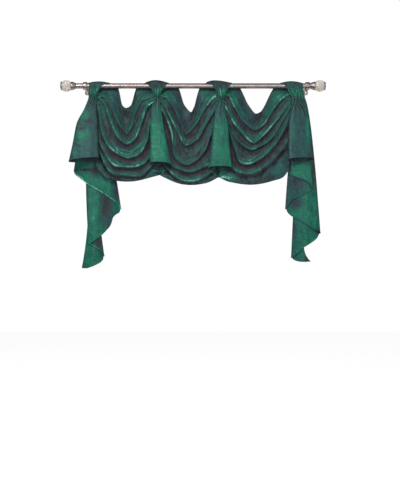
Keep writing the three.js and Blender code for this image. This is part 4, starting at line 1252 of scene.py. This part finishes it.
def wall_plate(middle_x):
    """A rounded plate flat against the wall with eased edges, as rings from its back to its front."""
    turn = 2 * np.pi * (np.arange(ROUND_SIDES) + 0.5) / ROUND_SIDES
    low, high = PLATE_HEIGHTS
    corner_x = np.sign(np.cos(turn)) * (PLATE_HALF_WIDTH - PLATE_CORNER)
    corner_z = np.sign(np.sin(turn)) * ((high - low) / 2 - PLATE_CORNER)
    rings = []
    for inset, front in PLATE_EDGE:
        x = corner_x + (PLATE_CORNER - inset) * np.cos(turn)
        z = corner_z + (PLATE_CORNER - inset) * np.sin(turn)
        rings.append(np.stack([x, np.full(turn.shape, -front), z], axis=-1))
    rings = [rings[0] * (0, 1, 0), *rings, rings[-1] * (0, 1, 0)]
    return ringed(np.array(rings) + (middle_x, 0, (low + high) / 2))


def tidy_mesh(mesh):
    """Merges the doubles at poles and seams, turns the faces outward and keeps true edges sharp."""
    shape = bmesh.new()
    shape.from_mesh(mesh)
    bmesh.ops.remove_doubles(shape, verts=shape.verts, dist=MERGE_GAP)
    bmesh.ops.recalc_face_normals(shape, faces=shape.faces)
    shape.to_mesh(mesh)
    shape.free()
    mesh.set_sharp_from_angle(angle=SHARP_ANGLE)


def make_hardware(node, shapes, material, name):
    """One piece of hardware from its shapes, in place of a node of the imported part."""
    points, faces, offset = [], [], 0
    for shape_points, shape_faces in shapes:
        points.append(shape_points)
        faces.append(shape_faces + offset)
        offset += len(shape_points)
    mesh = make_mesh(name, np.concatenate(points), np.concatenate(faces), material)
    tidy_mesh(mesh)
    piece = link_object(name, mesh)
    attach(piece, "root")
    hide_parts(node)


FINIAL = [
    ("collar", "turned", (COLLAR_PROFILE, 0, ROUND_SIDES), NICKEL, "satin_nickel"),
    ("knob", "fluted", (knob_profile(), FLUTE_DEPTH, KNOB_SIDES), GLASS, "knob_glass"),
    ("cap", "turned", (CAP_PROFILE, 0, ROUND_SIDES), NICKEL, "satin_nickel"),
]

rod_length = (rod_high.x - rod_low.x) / MM
rod_profile = [
    (0, 0), (0, ROD_RADIUS - ROD_EASE), (ROD_EASE, ROD_RADIUS), (rod_length - ROD_EASE, ROD_RADIUS),
    (rod_length, ROD_RADIUS - ROD_EASE), (rod_length, 0),
]
make_hardware("rod", [turned(rod_profile, rod_low.x / MM, 1)], NICKEL, "rod_tube")
for side, outward in (("left", -1), ("right", 1)):
    for part, finish, (profile, flutes, sides), material, slot in FINIAL:
        node = f"finial_{part}_{side}"
        low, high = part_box(node)
        seat = (high.x if outward < 0 else low.x) / MM
        shape = turned(profile, seat, outward, flutes, sides)
        make_hardware(node, [shape], material, f"{part}_{finish}_{side}")
    low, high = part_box("bracket_" + side)
    middle_x = (low.x + high.x) / 2 / MM
    shapes = [turned(ring_profile(), middle_x, 1), bracket_arm(middle_x), wall_plate(middle_x)]
    make_hardware("bracket_" + side, shapes, NICKEL, "bracket_cast_" + side)
